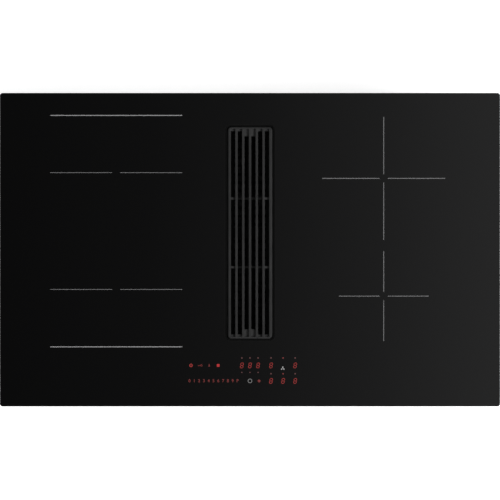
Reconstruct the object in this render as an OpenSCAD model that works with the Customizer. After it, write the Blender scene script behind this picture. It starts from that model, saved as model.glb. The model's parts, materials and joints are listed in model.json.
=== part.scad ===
// Downdraft induction cooktop: a black glass plate with four induction zones and,
// between them, a cast grille over an air intake with its own blower underneath.
// X runs to the user's right, Y to the back and Z up. The origin is under the middle
// of the glass, on the surface that the unit stands on before it is built in.

/* [Glass] */
// Width of the glass plate
glass_w = 830; // [800:5:900]
// Depth of the glass plate, front to back
glass_d = 520; // [510:5:560]
// Thickness of the glass
glass_t = 4; // [4:0.5:6]
// Corner radius of the glass
glass_r = 5; // [3:1:15]
// Ground bevel along the top edge
glass_bevel = 1; // [0.5:0.25:1.5]
// From the base to the underside of the glass
under_glass_h = 206; // [200:1:230]

/* [Air intake] */
// Width of the intake opening in the glass
intake_w = 83; // [81:1:90]
// From the front edge of the glass to the intake opening
intake_front = 108.5; // [105:0.5:120]
// From the rear edge of the glass to the intake opening
intake_back = 52.5; // [45:0.5:65]
// Corner radius of the intake opening
intake_r = 10; // [6:1:14]
// Width of the ground bevel round the opening
intake_bevel = 0.8; // [0.4:0.1:1.5]

/* [Grille] */
// Open gap between the grille and the glass
grille_gap = 3.5; // [3:0.5:4.5]
// Height of the casting
grille_h = 14; // [12:1:16]
// How far the grille stands above the glass
grille_proud = 1; // [0:0.5:2]
// Width of each inner bar at its top
bar_w = 4.5; // [3.5:0.5:6]
// Number of air slots across the grille
slot_count = 6; // [4:2:8]
// Width of the two side bars
side_bar_w = 6.5; // [5:0.5:7]
// Solid rim at each end of the grille
end_rim = 3.5; // [3:0.5:5]
// Length of the scooped web at the end of each slot
end_web = 3.8; // [3:0.2:5]
// Extra length of the finger grips in the two middle slots
grip_web = 8.5; // [6:0.5:12]
// Distance between the two cross ribs
rib_span = 114; // [90:2:140]
// Width of a cross rib
rib_w = 3.5; // [3:0.5:5]
// Height of the silicone feet under the grille
foot_h = 1.3; // [1:0.1:2]

/* [Grease filter] */
// Depth of the filter basket below its rim
filter_depth = 38; // [30:1:44]
// Thickness of the filter's metal panels
filter_t = 1.5; // [1:0.25:2]
// Width of the keel along the bottom of the basket
keel_w = 12; // [8:1:18]

/* [Case] */
// How far the glass reaches beyond the case at each side
rim_side = 17; // [15:1:25]
// How far the glass reaches beyond the case at the front and the back
rim_front = 21; // [17:1:25]
// Height of the case under the glass
case_h = 54; // [50:1:60]
// Sheet thickness of the case
sheet_t = 1; // [0.8:0.1:1.5]
// Thickness of the foam seal on the worktop
seal_t = 2.5; // [2:0.5:4]
// Width of the foam seal
seal_w = 7; // [5:1:7]

/* [Induction zones] */
// Width of a left zone
flex_w = 220; // [200:5:230]
// From the side edge of the glass to the left zones
zone_side = 82.5; // [76:0.5:90]
// From the rear edge of the glass to the left zones
zone_back = 36; // [32:1:44]
// From the front edge of the glass to the left zones
zone_front = 98; // [96:1:104]
// Diameter of the large right zone
large_d = 206; // [190:2:214]
// Diameter of the small right zone
small_d = 150; // [130:2:160]
// From the rear edge of the glass to the large right zone
large_back = 38.3; // [34:0.1:44]
// Gap between the two right zones
round_gap = 17.9; // [10:0.1:24]
// Width of a printed zone line
print_w = 0.8; // [0.6:0.1:1.4]
// Width of the flex zone's outer lines
edge_print_w = 1.3; // [1:0.1:2]
// Pitch of the coil windings
winding_pitch = 3.8; // [3.6:0.1:4.6]
// Width of one litz strand
litz_w = 3; // [2.4:0.1:3.1]

/* [Blower] */
// Outer diameter of the impeller
impeller_d = 176; // [164:2:180]
// Number of impeller blades
blade_count = 38; // [24:1:44]
// Gap between the impeller and the tongue of the volute
tongue_gap = 9; // [6:1:12]
// Growth of the volute's radius from the tongue to the outlet
volute_growth = 85; // [70:1:88]
// Outer width of the flat duct connection
duct_w = 222; // [200:2:226]
// Outer height of the flat duct connection
duct_h = 89; // [85:1:95]
// Length of the straight duct connection
duct_l = 30; // [24:1:32]
// Wall of the plastic air housings
wall = 2.5; // [2:0.25:3]
// Centre of the blower, behind the middle of the glass
blower_y = 54; // [46:1:56]

/* [Drip tray] */
// Height of the drip tray
tray_h = 38; // [30:1:46]
// Gap under the tray
tray_clear = 5; // [4:1:8]
// Reach of the tray's finger pull
pull_reach = 12; // [8:1:16]

/* [Hidden] */
$fn = 64;

// Sizes that follow from the glass and its margins
intake_l = glass_d - intake_front - intake_back;
intake_y = (intake_front - intake_back) / 2;
case_w = glass_w - 2 * rim_side;
case_d = glass_d - 2 * rim_front;
zone_x = glass_w / 2 - zone_side - flex_w / 2;
flex_d = (glass_d - zone_back - zone_front) / 2;
flex_rear_y = glass_d / 2 - zone_back - flex_d / 2;
flex_front_y = flex_rear_y - flex_d;
large_y = glass_d / 2 - large_back - large_d / 2;
small_y = large_y - (large_d + small_d) / 2 - round_gap;

// Running clearances
seat_gap = 0.3;
slide_gap = 0.4;
pin_gap = 0.06;
// Overlap of shapes that are one casting or moulding
overlap = 0.5;

// Levels, from the base up
z_glass = under_glass_h;
z_top = z_glass + glass_t;
z_pan = z_glass - case_h;
z_floor = z_pan + sheet_t;

// Fasteners
screw_r = 2;
screw_head_r = 3.6;
screw_head_h = 2.2;
hole_gap = 0.2;

// A 2D rectangle with round corners
module round_rect(w, d, r) {
    square([w - 2 * r, d], center = true);
    square([w, d - 2 * r], center = true);
    for (sx = [-1, 1], sy = [-1, 1])
        translate([sx * (w / 2 - r), sy * (d / 2 - r)]) circle(r);
}

// A plate with round corners, standing on z = 0
module round_plate(w, d, r, t) {
    linear_extrude(t) round_rect(w, d, r);
}

// A frame with round corners, standing on z = 0
module round_frame(w, d, r, rail, t) {
    linear_extrude(t) difference() {
        round_rect(w, d, r);
        round_rect(w - 2 * rail, d - 2 * rail, max(r - rail, 0.5));
    }
}

// Sweeps a profile along the outline of a rounded rectangle. The profile's x is the
// distance outwards from the corner centres, and its y is the height.
module rim_sweep(w, d, r) {
    for (i = [0:3]) {
        across = i % 2 == 0 ? w : d;
        along = i % 2 == 0 ? d : w;
        rotate(i * 90) translate([across / 2 - r, along / 2 - r, 0]) {
            rotate_extrude(angle = 90) children();
            rotate([90, 0, 0]) linear_extrude(along - 2 * r) children();
        }
    }
}

// A plate with round corners whose top edge is ground to a bevel
module bevelled_plate(w, d, r, t, bevel) {
    rim_sweep(w, d, r) polygon([[0, 0], [r, 0], [r, t - bevel], [r - bevel, t], [0, t]]);
    translate([-w / 2 + r, -d / 2 + r, 0]) cube([w - 2 * r, d - 2 * r, t]);
}

module ring(outer_r, inner_r, h) {
    linear_extrude(h) difference() {
        circle(outer_r);
        circle(inner_r);
    }
}

// A pan-head screw, head down at z = 0 and shank up
module screw_up(shank_r, shank_l, head_r = screw_head_r, head_h = screw_head_h) {
    translate([0, 0, -head_h]) cylinder(r = head_r, h = head_h, $fn = 24);
    cylinder(r = shank_r, h = shank_l, $fn = 24);
}

// One band of the intake's stepped collar. Its outside and inside are given by how far
// they lie within the edge of the glass opening.
module intake_band(outside, inside, z0, z1) {
    translate([0, intake_y, z0]) linear_extrude(z1 - z0) difference() {
        round_rect(intake_w - 2 * outside, intake_l - 2 * outside, max(intake_r - outside, 1));
        round_rect(intake_w - 2 * inside, intake_l - 2 * inside, max(intake_r - inside, 1));
    }
}

// Glass, its prints, seals and frame

module glass_plate() color([0.03, 0.03, 0.035]) difference() {
    translate([0, 0, z_glass]) bevelled_plate(glass_w, glass_d, glass_r, glass_t, glass_bevel);
    translate([0, intake_y, z_glass - 1]) round_plate(intake_w, intake_l, intake_r, glass_t + 2);
    translate([0, intake_y, z_top - intake_bevel]) rim_sweep(intake_w, intake_l, intake_r)
        polygon([[0, 0], [intake_r, 0], [intake_r + intake_bevel, intake_bevel],
            [intake_r + intake_bevel, 1 + intake_bevel], [0, 1 + intake_bevel]]);
}

print_t = 0.12;
print_gap = 7.2;
cross_gap = 6.5;

module print_bar(x0, x1, y, w) {
    translate([x0, y - w / 2, z_top]) cube([x1 - x0, w, print_t]);
}

// A cross of four lines with an open middle
module print_cross(x, y, r) {
    translate([x, y, z_top]) for (i = [0:3])
        rotate(i * 90) translate([cross_gap, -print_w / 2, 0]) cube([r - cross_gap, print_w, print_t]);
}

module zone_print() color([0.75, 0.75, 0.76]) {
    left = -zone_x - flex_w / 2;
    right = -zone_x + flex_w / 2;
    print_bar(left, right, flex_rear_y + flex_d / 2, edge_print_w);
    print_bar(left, right, flex_front_y - flex_d / 2, edge_print_w);
    for (y = [flex_rear_y, flex_front_y]) {
        print_bar(left, -zone_x - print_gap, y, print_w);
        print_bar(-zone_x + print_gap, right, y, print_w);
    }
    print_cross(zone_x, large_y, large_d / 2);
    print_cross(zone_x, small_y, small_d / 2);
}

seal_inset = 1.5;

module worktop_seal() color([0.12, 0.12, 0.12])
    translate([0, 0, z_glass - seal_t])
        round_frame(glass_w - 2 * seal_inset, glass_d - 2 * seal_inset, glass_r, seal_w, seal_t);

// Steel angle bonded under the glass, which the case is screwed to
frame_t = 1.5;
frame_leg = 14;
frame_foot = 12;
frame_w = case_w - 2 * sheet_t - 2 * seat_gap;
frame_d = case_d - 2 * sheet_t - 2 * seat_gap;
frame_r = 7;
side_screw_drop = 9;
// Places of the side screws, from the middle of the case
side_screw_x = 286;
side_screw_y = 143;

// Places of the case's side screws: each has a point on the case wall and the way it faces
side_screws = [for (x = [-1, 0, 1], s = [-1, 1]) [x * side_screw_x, s * case_d / 2, s * 90],
    for (y = [-1, 1], s = [-1, 1]) [s * case_w / 2, y * side_screw_y, s < 0 ? 180 : 0]];

module at_side_screws() {
    for (p = side_screws) translate([p[0], p[1], z_glass - side_screw_drop])
        rotate(p[2]) rotate([0, -90, 0]) children();
}

module glass_frame() color([0.62, 0.63, 0.65]) difference() {
    translate([0, 0, z_glass]) mirror([0, 0, 1]) {
        round_frame(frame_w, frame_d, frame_r, frame_t, frame_leg);
        round_frame(frame_w, frame_d, frame_r, frame_foot, frame_t);
    }
    at_side_screws() cylinder(r = screw_r + hole_gap, h = 4 * sheet_t + 4 * frame_t, center = true,
        $fn = 24);
}

// Intake collar with the grille's and the filter's seats

lip_gap = 0.3;
lip_t = 1.4;
lip_drop = 0.6;
collar_seal_t = 1;
collar_flange = 9;
collar_flange_t = 2.5;
collar_wall = 2.2;
ledge_w = 2.5;
ledge_t = 2;
filter_rim_t = 2;
filter_drop = 2;
collar_reach = 8;
z_grille = z_top + grille_proud - grille_h;
z_grille_seat = z_grille - foot_h;
z_filter_seat = z_grille_seat - filter_rim_t - filter_drop;
z_collar = z_pan - collar_reach;
pocket_in = lip_gap + lip_t;
// Insets from the glass opening's edge: the filter's pocket and the throat
filter_ledge_w = 3.5;
filter_pocket_in = grille_gap + filter_ledge_w;
throat_in = filter_pocket_in + ledge_w;

module intake_collar() color([0.05, 0.05, 0.055]) {
    z_flange = z_glass - collar_seal_t;
    pocket_out = pocket_in - collar_wall;
    seat_out = filter_pocket_in - collar_wall;
    intake_band(lip_gap, pocket_in, z_flange, z_top - lip_drop);
    intake_band(-collar_flange, pocket_in, z_flange - collar_flange_t, z_flange);
    intake_band(pocket_out, pocket_in, z_grille_seat - ledge_t, z_flange);
    intake_band(pocket_out, filter_pocket_in, z_grille_seat - ledge_t, z_grille_seat);
    intake_band(seat_out, filter_pocket_in, z_filter_seat - ledge_t, z_grille_seat);
    intake_band(seat_out, throat_in, z_filter_seat - ledge_t, z_filter_seat);
    intake_band(throat_in - collar_wall, throat_in, z_collar, z_filter_seat);
}

module collar_seal() color([0.1, 0.1, 0.1])
    intake_band(-collar_flange + 0.5, -0.5, z_glass - collar_seal_t, z_glass);

// Cast grille

grille_w = intake_w - 2 * grille_gap;
grille_l = intake_l - 2 * grille_gap;
grille_r = max(intake_r - grille_gap, 2);
slot_w = (grille_w - 2 * side_bar_w - (slot_count - 1) * bar_w) / slot_count;
slot_pitch = slot_w + bar_w;
bar_draft = 0.6;
edge_round = 1.4;
scoop_depth = 2;
deep_rib_drop = 5;
bar_lift = 2;
inner_bar_h = grille_h - bar_lift;
web_h = 6;
web_drop = 0.3;

// The grille's rim section: an upright wall with its top outer edge rolled over
module rim_section(rail) {
    difference() {
        translate([grille_r - rail, 0]) square([rail, grille_h]);
        difference() {
            translate([grille_r - edge_round, grille_h - edge_round]) square(2 * edge_round);
            translate([grille_r - edge_round, grille_h - edge_round]) circle(edge_round, $fn = 32);
        }
    }
}

// One bar's section, narrower towards its foot and eased at its top corners
module bar_section() {
    ease = 0.6;
    top = grille_h;
    polygon([[-bar_w / 2 + bar_draft, top - inner_bar_h], [bar_w / 2 - bar_draft, top - inner_bar_h],
        [bar_w / 2, top - ease], [bar_w / 2 - ease, top], [-bar_w / 2 + ease, top],
        [-bar_w / 2, top - ease]]);
}

module along_y(l) {
    rotate([90, 0, 0]) linear_extrude(l, center = true) children();
}

// A web between two bars, hollowed along the slot so that a fingertip fits
module scooped_web(l, h) {
    scoop_r = (slot_w * slot_w / 4 + scoop_depth * scoop_depth) / (2 * scoop_depth);
    difference() {
        translate([-slot_w / 2 - bar_draft, -l / 2, grille_h - h])
            cube([slot_w + 2 * bar_draft, l, h - web_drop]);
        translate([0, 0, grille_h - web_drop - scoop_depth + scoop_r]) rotate([90, 0, 0])
            cylinder(r = scoop_r, h = l + 1, center = true, $fn = 48);
    }
}

module grille_body() {
    rail = min(end_rim, grille_r);
    // Rim: the sides and the ends, with rolled top edges
    rim_sweep(grille_w, grille_l, grille_r) rim_section(rail);
    for (s = [0, 1]) mirror([s, 0, 0])
        translate([grille_w / 2 - side_bar_w, -grille_l / 2 + rail - overlap, 0])
            cube([side_bar_w - rail + overlap, grille_l - 2 * rail + 2 * overlap, grille_h]);
    // Inner bars
    for (i = [1:slot_count - 1]) translate([(i - slot_count / 2) * slot_pitch, 0, 0])
        along_y(grille_l - 2 * end_rim + 2 * overlap) bar_section();
    // Webs and ribs in each slot
    for (i = [0:slot_count - 1], s = [-1, 1]) {
        middle = abs(i - (slot_count - 1) / 2) < 1;
        outer = i == 0 || i == slot_count - 1;
        web = end_web + (middle ? grip_web : 0);
        x = (i - (slot_count - 1) / 2) * slot_pitch;
        translate([x, s * (grille_l / 2 - end_rim - (web - overlap) / 2), 0])
            scooped_web(web + overlap, web_h);
        if (outer) translate([x, s * rib_span / 2, 0]) scooped_web(rib_w, inner_bar_h);
        else translate([x - slot_w / 2 - bar_draft, s * rib_span / 2 - rib_w / 2, grille_h - inner_bar_h])
            cube([slot_w + 2 * bar_draft, rib_w, inner_bar_h - deep_rib_drop]);
    }
}

module grille() color([0.07, 0.07, 0.075]) translate([0, intake_y, z_grille]) grille_body();

foot_w = 3;
foot_l = 14;
foot_edge = 0.3;
foot_end = 21;

module grille_feet() color([0.15, 0.15, 0.15]) {
    for (s = [-1, 1], y = [-1, 0, 1])
        translate([s * (grille_w - foot_w - 2 * foot_edge) / 2 - foot_w / 2,
            intake_y + y * (grille_l / 2 - foot_end - foot_l / 2) - foot_l / 2, z_grille_seat])
            cube([foot_w, foot_l, foot_h]);
}

// Grease filter: a V-shaped basket of two slotted panels in a sheet frame

filter_w = intake_w - 2 * throat_in - 2 * slide_gap;
filter_l = intake_l - 2 * throat_in - 2 * slide_gap;
z_filter_rim = z_filter_seat + filter_rim_t;
z_keel = z_filter_seat - filter_depth;
skirt_h = 8;
filter_flange = 5;
strap_w = 16;
panel_run = filter_w / 2 - filter_t - keel_w / 2;
panel_fall = filter_depth - skirt_h - filter_t;
panel_angle = atan2(panel_fall, panel_run);
panel_len = sqrt(panel_run * panel_run + panel_fall * panel_fall);

module filter_frame() color([0.04, 0.04, 0.042]) {
    intake_band(filter_pocket_in + slide_gap, throat_in + slide_gap + filter_flange, z_filter_seat,
        z_filter_rim);
    intake_band(throat_in + slide_gap, throat_in + slide_gap + filter_t, z_filter_seat - skirt_h,
        z_filter_seat);
    // Keel trough along the bottom
    translate([-keel_w / 2, intake_y - filter_l / 2, z_keel]) cube([keel_w, filter_l, filter_t]);
    // End plates
    for (s = [-1, 1]) translate([0, intake_y + s * (filter_l - filter_t) / 2, z_keel]) along_y(filter_t)
        polygon([[-keel_w / 2, 0], [keel_w / 2, 0], [filter_w / 2, panel_fall + filter_t],
            [filter_w / 2 - 1, filter_depth], [-filter_w / 2 + 1, filter_depth],
            [-filter_w / 2, panel_fall + filter_t]]);
    // Lifting strap across the rim
    translate([-filter_w / 2, intake_y - strap_w / 2, z_filter_seat])
        cube([filter_w, strap_w, filter_rim_t]);
}

mesh_slots = 24;
mesh_rows = 3;
mesh_bridge_y = 4.6;
mesh_bridge_x = 3.6;

module mesh_panel() {
    l = filter_l - 2 * filter_t;
    pitch_y = l / mesh_slots;
    pitch_x = panel_len / mesh_rows;
    difference() {
        translate([0, -l / 2, 0]) cube([panel_len, l, filter_t]);
        for (i = [0:mesh_slots - 1], j = [0:mesh_rows - 1])
            translate([(j + 0.5) * pitch_x, (i + 0.5) * pitch_y - l / 2, filter_t / 2])
                cube([pitch_x - mesh_bridge_x, pitch_y - mesh_bridge_y, filter_t + 1], center = true);
    }
}

module filter_mesh() color([0.03, 0.03, 0.032]) {
    for (s = [0, 1]) translate([0, intake_y, z_keel + filter_t]) mirror([s, 0, 0])
        translate([keel_w / 2, 0, 0]) rotate([0, -panel_angle, 0]) mesh_panel();
}

// Air housings

shaft_w = 104;
shaft_margin = 22.2;
shaft_l = intake_l - 2 * throat_in + 2 * shaft_margin;
shaft_r = 4;
hood_margin = 28;
blade_depth = 24;
inlet_r = impeller_d / 2 - blade_depth;
hood_r = inlet_r + hood_margin;
duct_z = 0.5;
z_scroll = duct_h - wall + duct_z;
z_cover = z_scroll + wall;
z_hood = z_cover;
flange_w = 9;
flange_t = 3;

// The volute's radius grows evenly from the tongue round to the outlet
tongue_a = 65;
tongue_r = impeller_d / 2 + tongue_gap;
function volute_r(a) = tongue_r + volute_growth * (a - tongue_a) / (360 - tongue_a);

shaft_space = 3;
outlet_run = 12;
duct_in = 4;
duct_past = 4;
blower_x = shaft_w / 2 + shaft_space + wall + volute_r(180);
outlet_y = blower_y + volute_r(90) + outlet_run;
outlet_x0 = blower_x + tongue_r * cos(tongue_a);
outlet_x1 = blower_x + volute_r(360);
duct_x = case_w / 2 - duct_in - duct_w / 2;

shaft_y0 = intake_y - shaft_l / 2;
shaft_y1 = intake_y + shaft_l / 2;

// Tray levels, which the rails in the shaft share
tray_flange_t = 2;
z_tray = tray_clear;
z_tray_top = tray_clear + tray_h;
rail_reach = 5;
z_rail = z_tray_top - tray_flange_t - seat_gap;

// Stiffening ribs of the air housings
rib_t = 1.6;
rib_out = 1.5;
rib_pitch_z = 30;
rib_pitch_y = 60;
rib_end = 10;
shaft_rib_n = floor((shaft_l / 2 - rib_end) / rib_pitch_y);
shaft_rib_z = 58;
shaft_screw_x = 31;
shaft_screws = [for (s = [-1, 1], x = [-1, 1])
    [x * shaft_screw_x, intake_y + s * (shaft_l + flange_w) / 2]];

// Ribs on the shaft's left, front and rear walls
module shaft_ribs() {
    for (i = [0:2]) translate([0, 0, shaft_rib_z + i * rib_pitch_z]) {
        translate([-shaft_w / 2 - rib_out, intake_y - shaft_l / 2 + shaft_r, 0])
            cube([rib_out + wall / 2, shaft_l - 2 * shaft_r, rib_t]);
        translate([-shaft_w / 2 + shaft_r, intake_y - shaft_l / 2 - rib_out, 0])
            cube([shaft_w - 2 * shaft_r, shaft_l + 2 * rib_out, rib_t]);
    }
    for (i = [-shaft_rib_n:shaft_rib_n])
        translate([-shaft_w / 2 - rib_out, intake_y + i * rib_pitch_y - rib_t / 2, z_tray])
            cube([rib_out + wall / 2, rib_t, z_pan - flange_t - z_tray]);
}

module air_shaft() color([0.13, 0.13, 0.14]) difference() {
    union() {
        translate([0, intake_y, 0]) round_plate(shaft_w, shaft_l, shaft_r, z_pan);
        translate([0, intake_y, z_pan - flange_t])
            round_plate(shaft_w, shaft_l + 2 * flange_w, shaft_r, flange_t);
        shaft_ribs();
    }
    difference() {
        translate([0, intake_y, -1])
            round_plate(shaft_w - 2 * wall, shaft_l - 2 * wall, shaft_r - wall, z_pan + 1 - wall);
        for (s = [-1, 1])
            translate([s * (shaft_w / 2 - wall - rail_reach / 2), intake_y, z_rail - wall / 2])
                cube([rail_reach, shaft_l, wall], center = true);
    }
    // Neck for the collar
    intake_cut(throat_in - collar_wall - seat_gap, z_pan - wall - 1, z_pan + 1);
    // Mouth for the drip tray
    translate([-shaft_w, shaft_y0 - 1, -1]) cube([2 * shaft_w, wall + 1, z_tray_top + slide_gap + 1]);
    translate([-shaft_w / 2 + wall, shaft_y0, -1])
        cube([shaft_w - 2 * wall, wall + shaft_r, z_tray_top + slide_gap + 1]);
    // Way to the blower
    translate([shaft_w / 2 - 2 * wall, blower_y - hood_r + wall, z_hood + wall])
        cube([3 * wall, 2 * (hood_r - wall), z_pan - z_hood - 2 * wall]);
    // Screw holes in the top flange
    for (p = shaft_screws) translate([p[0], p[1], z_pan])
        cylinder(r = screw_r + hole_gap, h = 3 * flange_t, center = true, $fn = 24);
}

module intake_cut(inside, z0, z1) {
    translate([0, intake_y, z0]) linear_extrude(z1 - z0)
        round_rect(intake_w - 2 * inside, intake_l - 2 * inside, max(intake_r - inside, 1));
}

module hood_outline(inset) {
    translate([shaft_w / 2, blower_y - hood_r + inset])
        square([blower_x - shaft_w / 2, 2 * (hood_r - inset)]);
    translate([blower_x, blower_y]) circle(hood_r - inset);
}

throat_r = inlet_r;
bell_r = 9;
bell_tube = 3;

module inlet_hood() color([0.13, 0.13, 0.14]) difference() {
    translate([0, 0, z_hood]) linear_extrude(z_pan - z_hood) hood_outline(0);
    translate([0, 0, z_hood + wall]) linear_extrude(z_pan - z_hood - 2 * wall) union() {
        hood_outline(wall);
        translate([shaft_w / 2 - 1, blower_y - hood_r + wall]) square([10, 2 * (hood_r - wall)]);
    }
    translate([blower_x, blower_y, z_hood - 1])
        cylinder(r = throat_r + bell_r + seat_gap, h = wall + 2);
}

// Drip tray

tray_w = shaft_w - 2 * wall - 2 * slide_gap;
tray_body_w = shaft_w - 2 * wall - 2 * rail_reach - 2 * slide_gap;
tray_back_gap = 1;
pull_top = 7;
pull_in = 5;
pull_drop = 8;
pull_lip = 7.5;
panel_lift = 1;
tray_l = shaft_l - 2 * wall - tray_back_gap;
tray_front = shaft_y0 + wall - slide_gap;
pull_w = 52;

module drip_tray() color([0.2, 0.2, 0.21]) {
    y0 = tray_front;
    difference() {
        union() {
            translate([-tray_body_w / 2, y0, z_tray]) cube([tray_body_w, tray_l, tray_h]);
            translate([-tray_w / 2, y0, z_tray_top - tray_flange_t])
                cube([tray_w, tray_l, tray_flange_t]);
        }
        translate([-tray_body_w / 2 + wall, y0 + wall, z_tray + wall])
            cube([tray_body_w - 2 * wall, tray_l - 2 * wall, tray_h]);
    }
    // Front panel with a finger pull under its top edge
    translate([-shaft_w / 2, y0 - wall, panel_lift]) cube([shaft_w, wall, z_tray_top - panel_lift]);
    translate([0, y0 - wall, z_tray_top - pull_top]) rotate([0, 90, 0]) translate([0, 0, -pull_w / 2])
        linear_extrude(pull_w) polygon([[0, 0], [pull_drop, -pull_reach + wall],
            [pull_drop + pull_lip, -pull_reach + wall], [pull_drop + pull_lip, -pull_reach],
            [pull_drop - wall, -pull_reach], [-pull_in, 0]]);
}

// Blower

function volute_points(extra) =
    let (start = acos((tongue_r * cos(tongue_a) - extra) / (tongue_r + extra)))
    concat([for (i = [0:volute_steps]) let (a = start + (360 - start) * i / volute_steps)
            (volute_r(a) + extra) * [cos(a), sin(a)]],
        [[outlet_x1 - blower_x + extra, outlet_y - blower_y],
            [outlet_x0 - blower_x - extra, outlet_y - blower_y]]);

volute_steps = 48;
boss_r = 4;
boss_angles = [92, 118, 236, 268, 298, 326, 352];
motor_plate_r = 35;
motor_plate_t = 3;
motor_screw_in = 6;
motor_screw_l = 5;
scroll_floor = 3;

module at_bosses() {
    for (a = boss_angles) at_scroll_wall(a, wall + boss_r - boss_in) children();
}

module at_outlet_ears(z_list) {
    for (x = [outlet_x0 - wall - flange_w / 2, outlet_x1 + wall + flange_w / 2], z = z_list)
        translate([x, outlet_y, z]) rotate([90, 0, 0]) children();
}

ear_in = 22;
ear_levels = [duct_z + ear_in, duct_z + duct_h - ear_in];
// Flange round the joint of the volute's two halves, and ribs on its wall between the bosses
joint_w = 1.5;
joint_t = 3;
boss_lap = 1;
boss_space = 5;
scroll_ribs = [for (a = [75:15:345]) if (min([for (b = boss_angles) abs(a - b)]) > boss_space) a];
boss_in = 1.2;

module at_scroll_wall(a, out) {
    translate([blower_x, blower_y, 0]) rotate(a) translate([volute_r(a) + out, 0, 0]) children();
}

module scroll_body() color([0.13, 0.13, 0.14]) difference() {
    union() {
        translate([blower_x, blower_y, 0]) linear_extrude(z_scroll) polygon(volute_points(wall));
        difference() {
            translate([blower_x, blower_y, z_scroll - joint_t]) linear_extrude(joint_t)
                polygon(volute_points(wall + joint_w));
            at_bosses() cylinder(r = boss_r - boss_lap, h = 2 * z_scroll, $fn = 32);
        }
        at_bosses() cylinder(r = boss_r, h = z_scroll, $fn = 32);
        for (a = scroll_ribs) at_scroll_wall(a, wall / 2) translate([0, -rib_t / 2, scroll_floor])
            cube([wall / 2 + rib_out, rib_t, z_scroll - scroll_floor - joint_t / 2]);
        translate([outlet_x0 - wall - flange_w, outlet_y - flange_t, duct_z])
            cube([outlet_x1 - outlet_x0 + 2 * wall + 2 * flange_w, flange_t, z_scroll - duct_z]);
    }
    translate([blower_x, blower_y, scroll_floor]) linear_extrude(z_scroll) polygon(volute_points(0));
    translate([outlet_x0, outlet_y - flange_t - 1, scroll_floor])
        cube([outlet_x1 - outlet_x0, flange_t + 2, z_scroll]);
    at_bosses() translate([0, 0, scroll_floor]) cylinder(r = screw_r, h = duct_h, $fn = 24);
    at_motor_screws() translate([0, 0, -motor_screw_l])
        cylinder(r = screw_r, h = motor_screw_l + 1, $fn = 24);
    at_outlet_ears(ear_levels)
        cylinder(r = screw_r + hole_gap, h = 4 * flange_t, center = true, $fn = 24);
}

hanger_r = 6;
hanger_in = 2;
hanger_back = 16;
hanger_hole = 20;
hanger_screw_l = 14;
hanger_angles = [228, 318];
function hanger_at(a) = [blower_x, blower_y] + (volute_r(a) - hanger_in) * [cos(a), sin(a)];
hanger_places = [hanger_at(hanger_angles[0]), hanger_at(hanger_angles[1]),
    [outlet_x1 - hanger_r, outlet_y - hanger_back],
    [outlet_x0 + 2 * hanger_r, outlet_y - hanger_r - joint_w]];

// Section of the bell mouth: a quarter ring that leads down into a short tube
module bell_section() {
    difference() {
        translate([throat_r, z_cover - bell_r]) square([bell_r + overlap, bell_r]);
        translate([throat_r + bell_r, z_cover - bell_r]) circle(bell_r - wall);
    }
    translate([throat_r, z_cover - bell_r - bell_tube]) square([wall, bell_tube + overlap]);
}

module scroll_cover() color([0.16, 0.16, 0.17]) difference() {
    union() {
        difference() {
            translate([blower_x, blower_y, z_scroll]) linear_extrude(wall)
                polygon(volute_points(wall + joint_w));
            at_blower(z_scroll - 1) cylinder(r = throat_r + bell_r, h = wall + 2);
        }
        translate([0, 0, z_scroll]) at_bosses() cylinder(r = boss_r, h = wall, $fn = 32);
        at_blower(0) rotate_extrude() bell_section();
        for (p = hanger_places) translate([p[0], p[1], z_cover])
            cylinder(r = hanger_r, h = z_pan - z_cover, $fn = 32);
    }
    at_blower(z_cover - bell_r) rotate_extrude() difference() {
        square([throat_r + bell_r, bell_r + 1]);
        translate([throat_r + bell_r, 0]) circle(bell_r);
    }
    at_bosses() cylinder(r = screw_r + hole_gap, h = 3 * duct_h, center = true, $fn = 24);
    for (p = hanger_places) translate([p[0], p[1], z_pan - hanger_hole])
        cylinder(r = screw_r, h = hanger_hole + 1, $fn = 24);
}

// Impeller and motor

impeller_r = impeller_d / 2;
impeller_lift = 6;
z_impeller = scroll_floor + impeller_lift;
shroud_gap = 1.5;
shroud_overlap = 1.5;
z_shroud = z_cover - bell_r - bell_tube + shroud_overlap;
ring_t = 2.5;
blade_chord = 16;
blade_t = 1.6;
blade_sweep = 15;
bell_out = 42;
bell_t = 2.5;
bell_lift = 1;
z_bell = z_impeller + bell_lift;
bell_h = 35;
magnet_t = 3;
air_gap = 1.5;
hub_gap = 1;
hub_t = 2.2;
bearing_out = 8;
bearing_h = 5;
race_w = 1.2;
shield_drop = 0.6;
shaft_rad = 4;
bearing_gap = 0.03;
press_gap = 0.01;
tube_r = 11;
tube_floor = 3.5;
tube_drop = 9;
z_tube = scroll_floor + tube_floor;
tube_top = z_bell + bell_h - tube_drop;
stator_r = bell_out - bell_t - magnet_t - air_gap;
stator_poles = 12;
stator_lift = 6;
stator_hub_t = 5;
stator_h = tube_top - z_tube - stator_lift - 3;
pole_w = 3.5;
coil_w = 6;
pole_face_t = 3;
pole_face_w = 13;
core_t = 1;
magnet_edge = 2;
magnet_h = 24;
hub_h = 5;
shaft_end = 4;
cap_round = 2;

module at_blower(z) {
    translate([blower_x, blower_y, z]) children();
}

// A point on one side of the first blade's curve, from root (t = 0) to tip (t = 1)
function blade_point(t, side) =
    let (r = impeller_r - blade_chord + (blade_chord - 0.5) * t,
        a = blade_sweep * pow(t, 1.6) + side * blade_t / (2 * r) * 180 / PI)
    r * [cos(a), sin(a)];

module blade() {
    steps = 6;
    linear_extrude(z_shroud - z_impeller - ring_t) polygon(concat(
        [for (i = [0:steps]) blade_point(i / steps, -1)],
        [for (i = [steps:-1:0]) blade_point(i / steps, 1)]));
}

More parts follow.
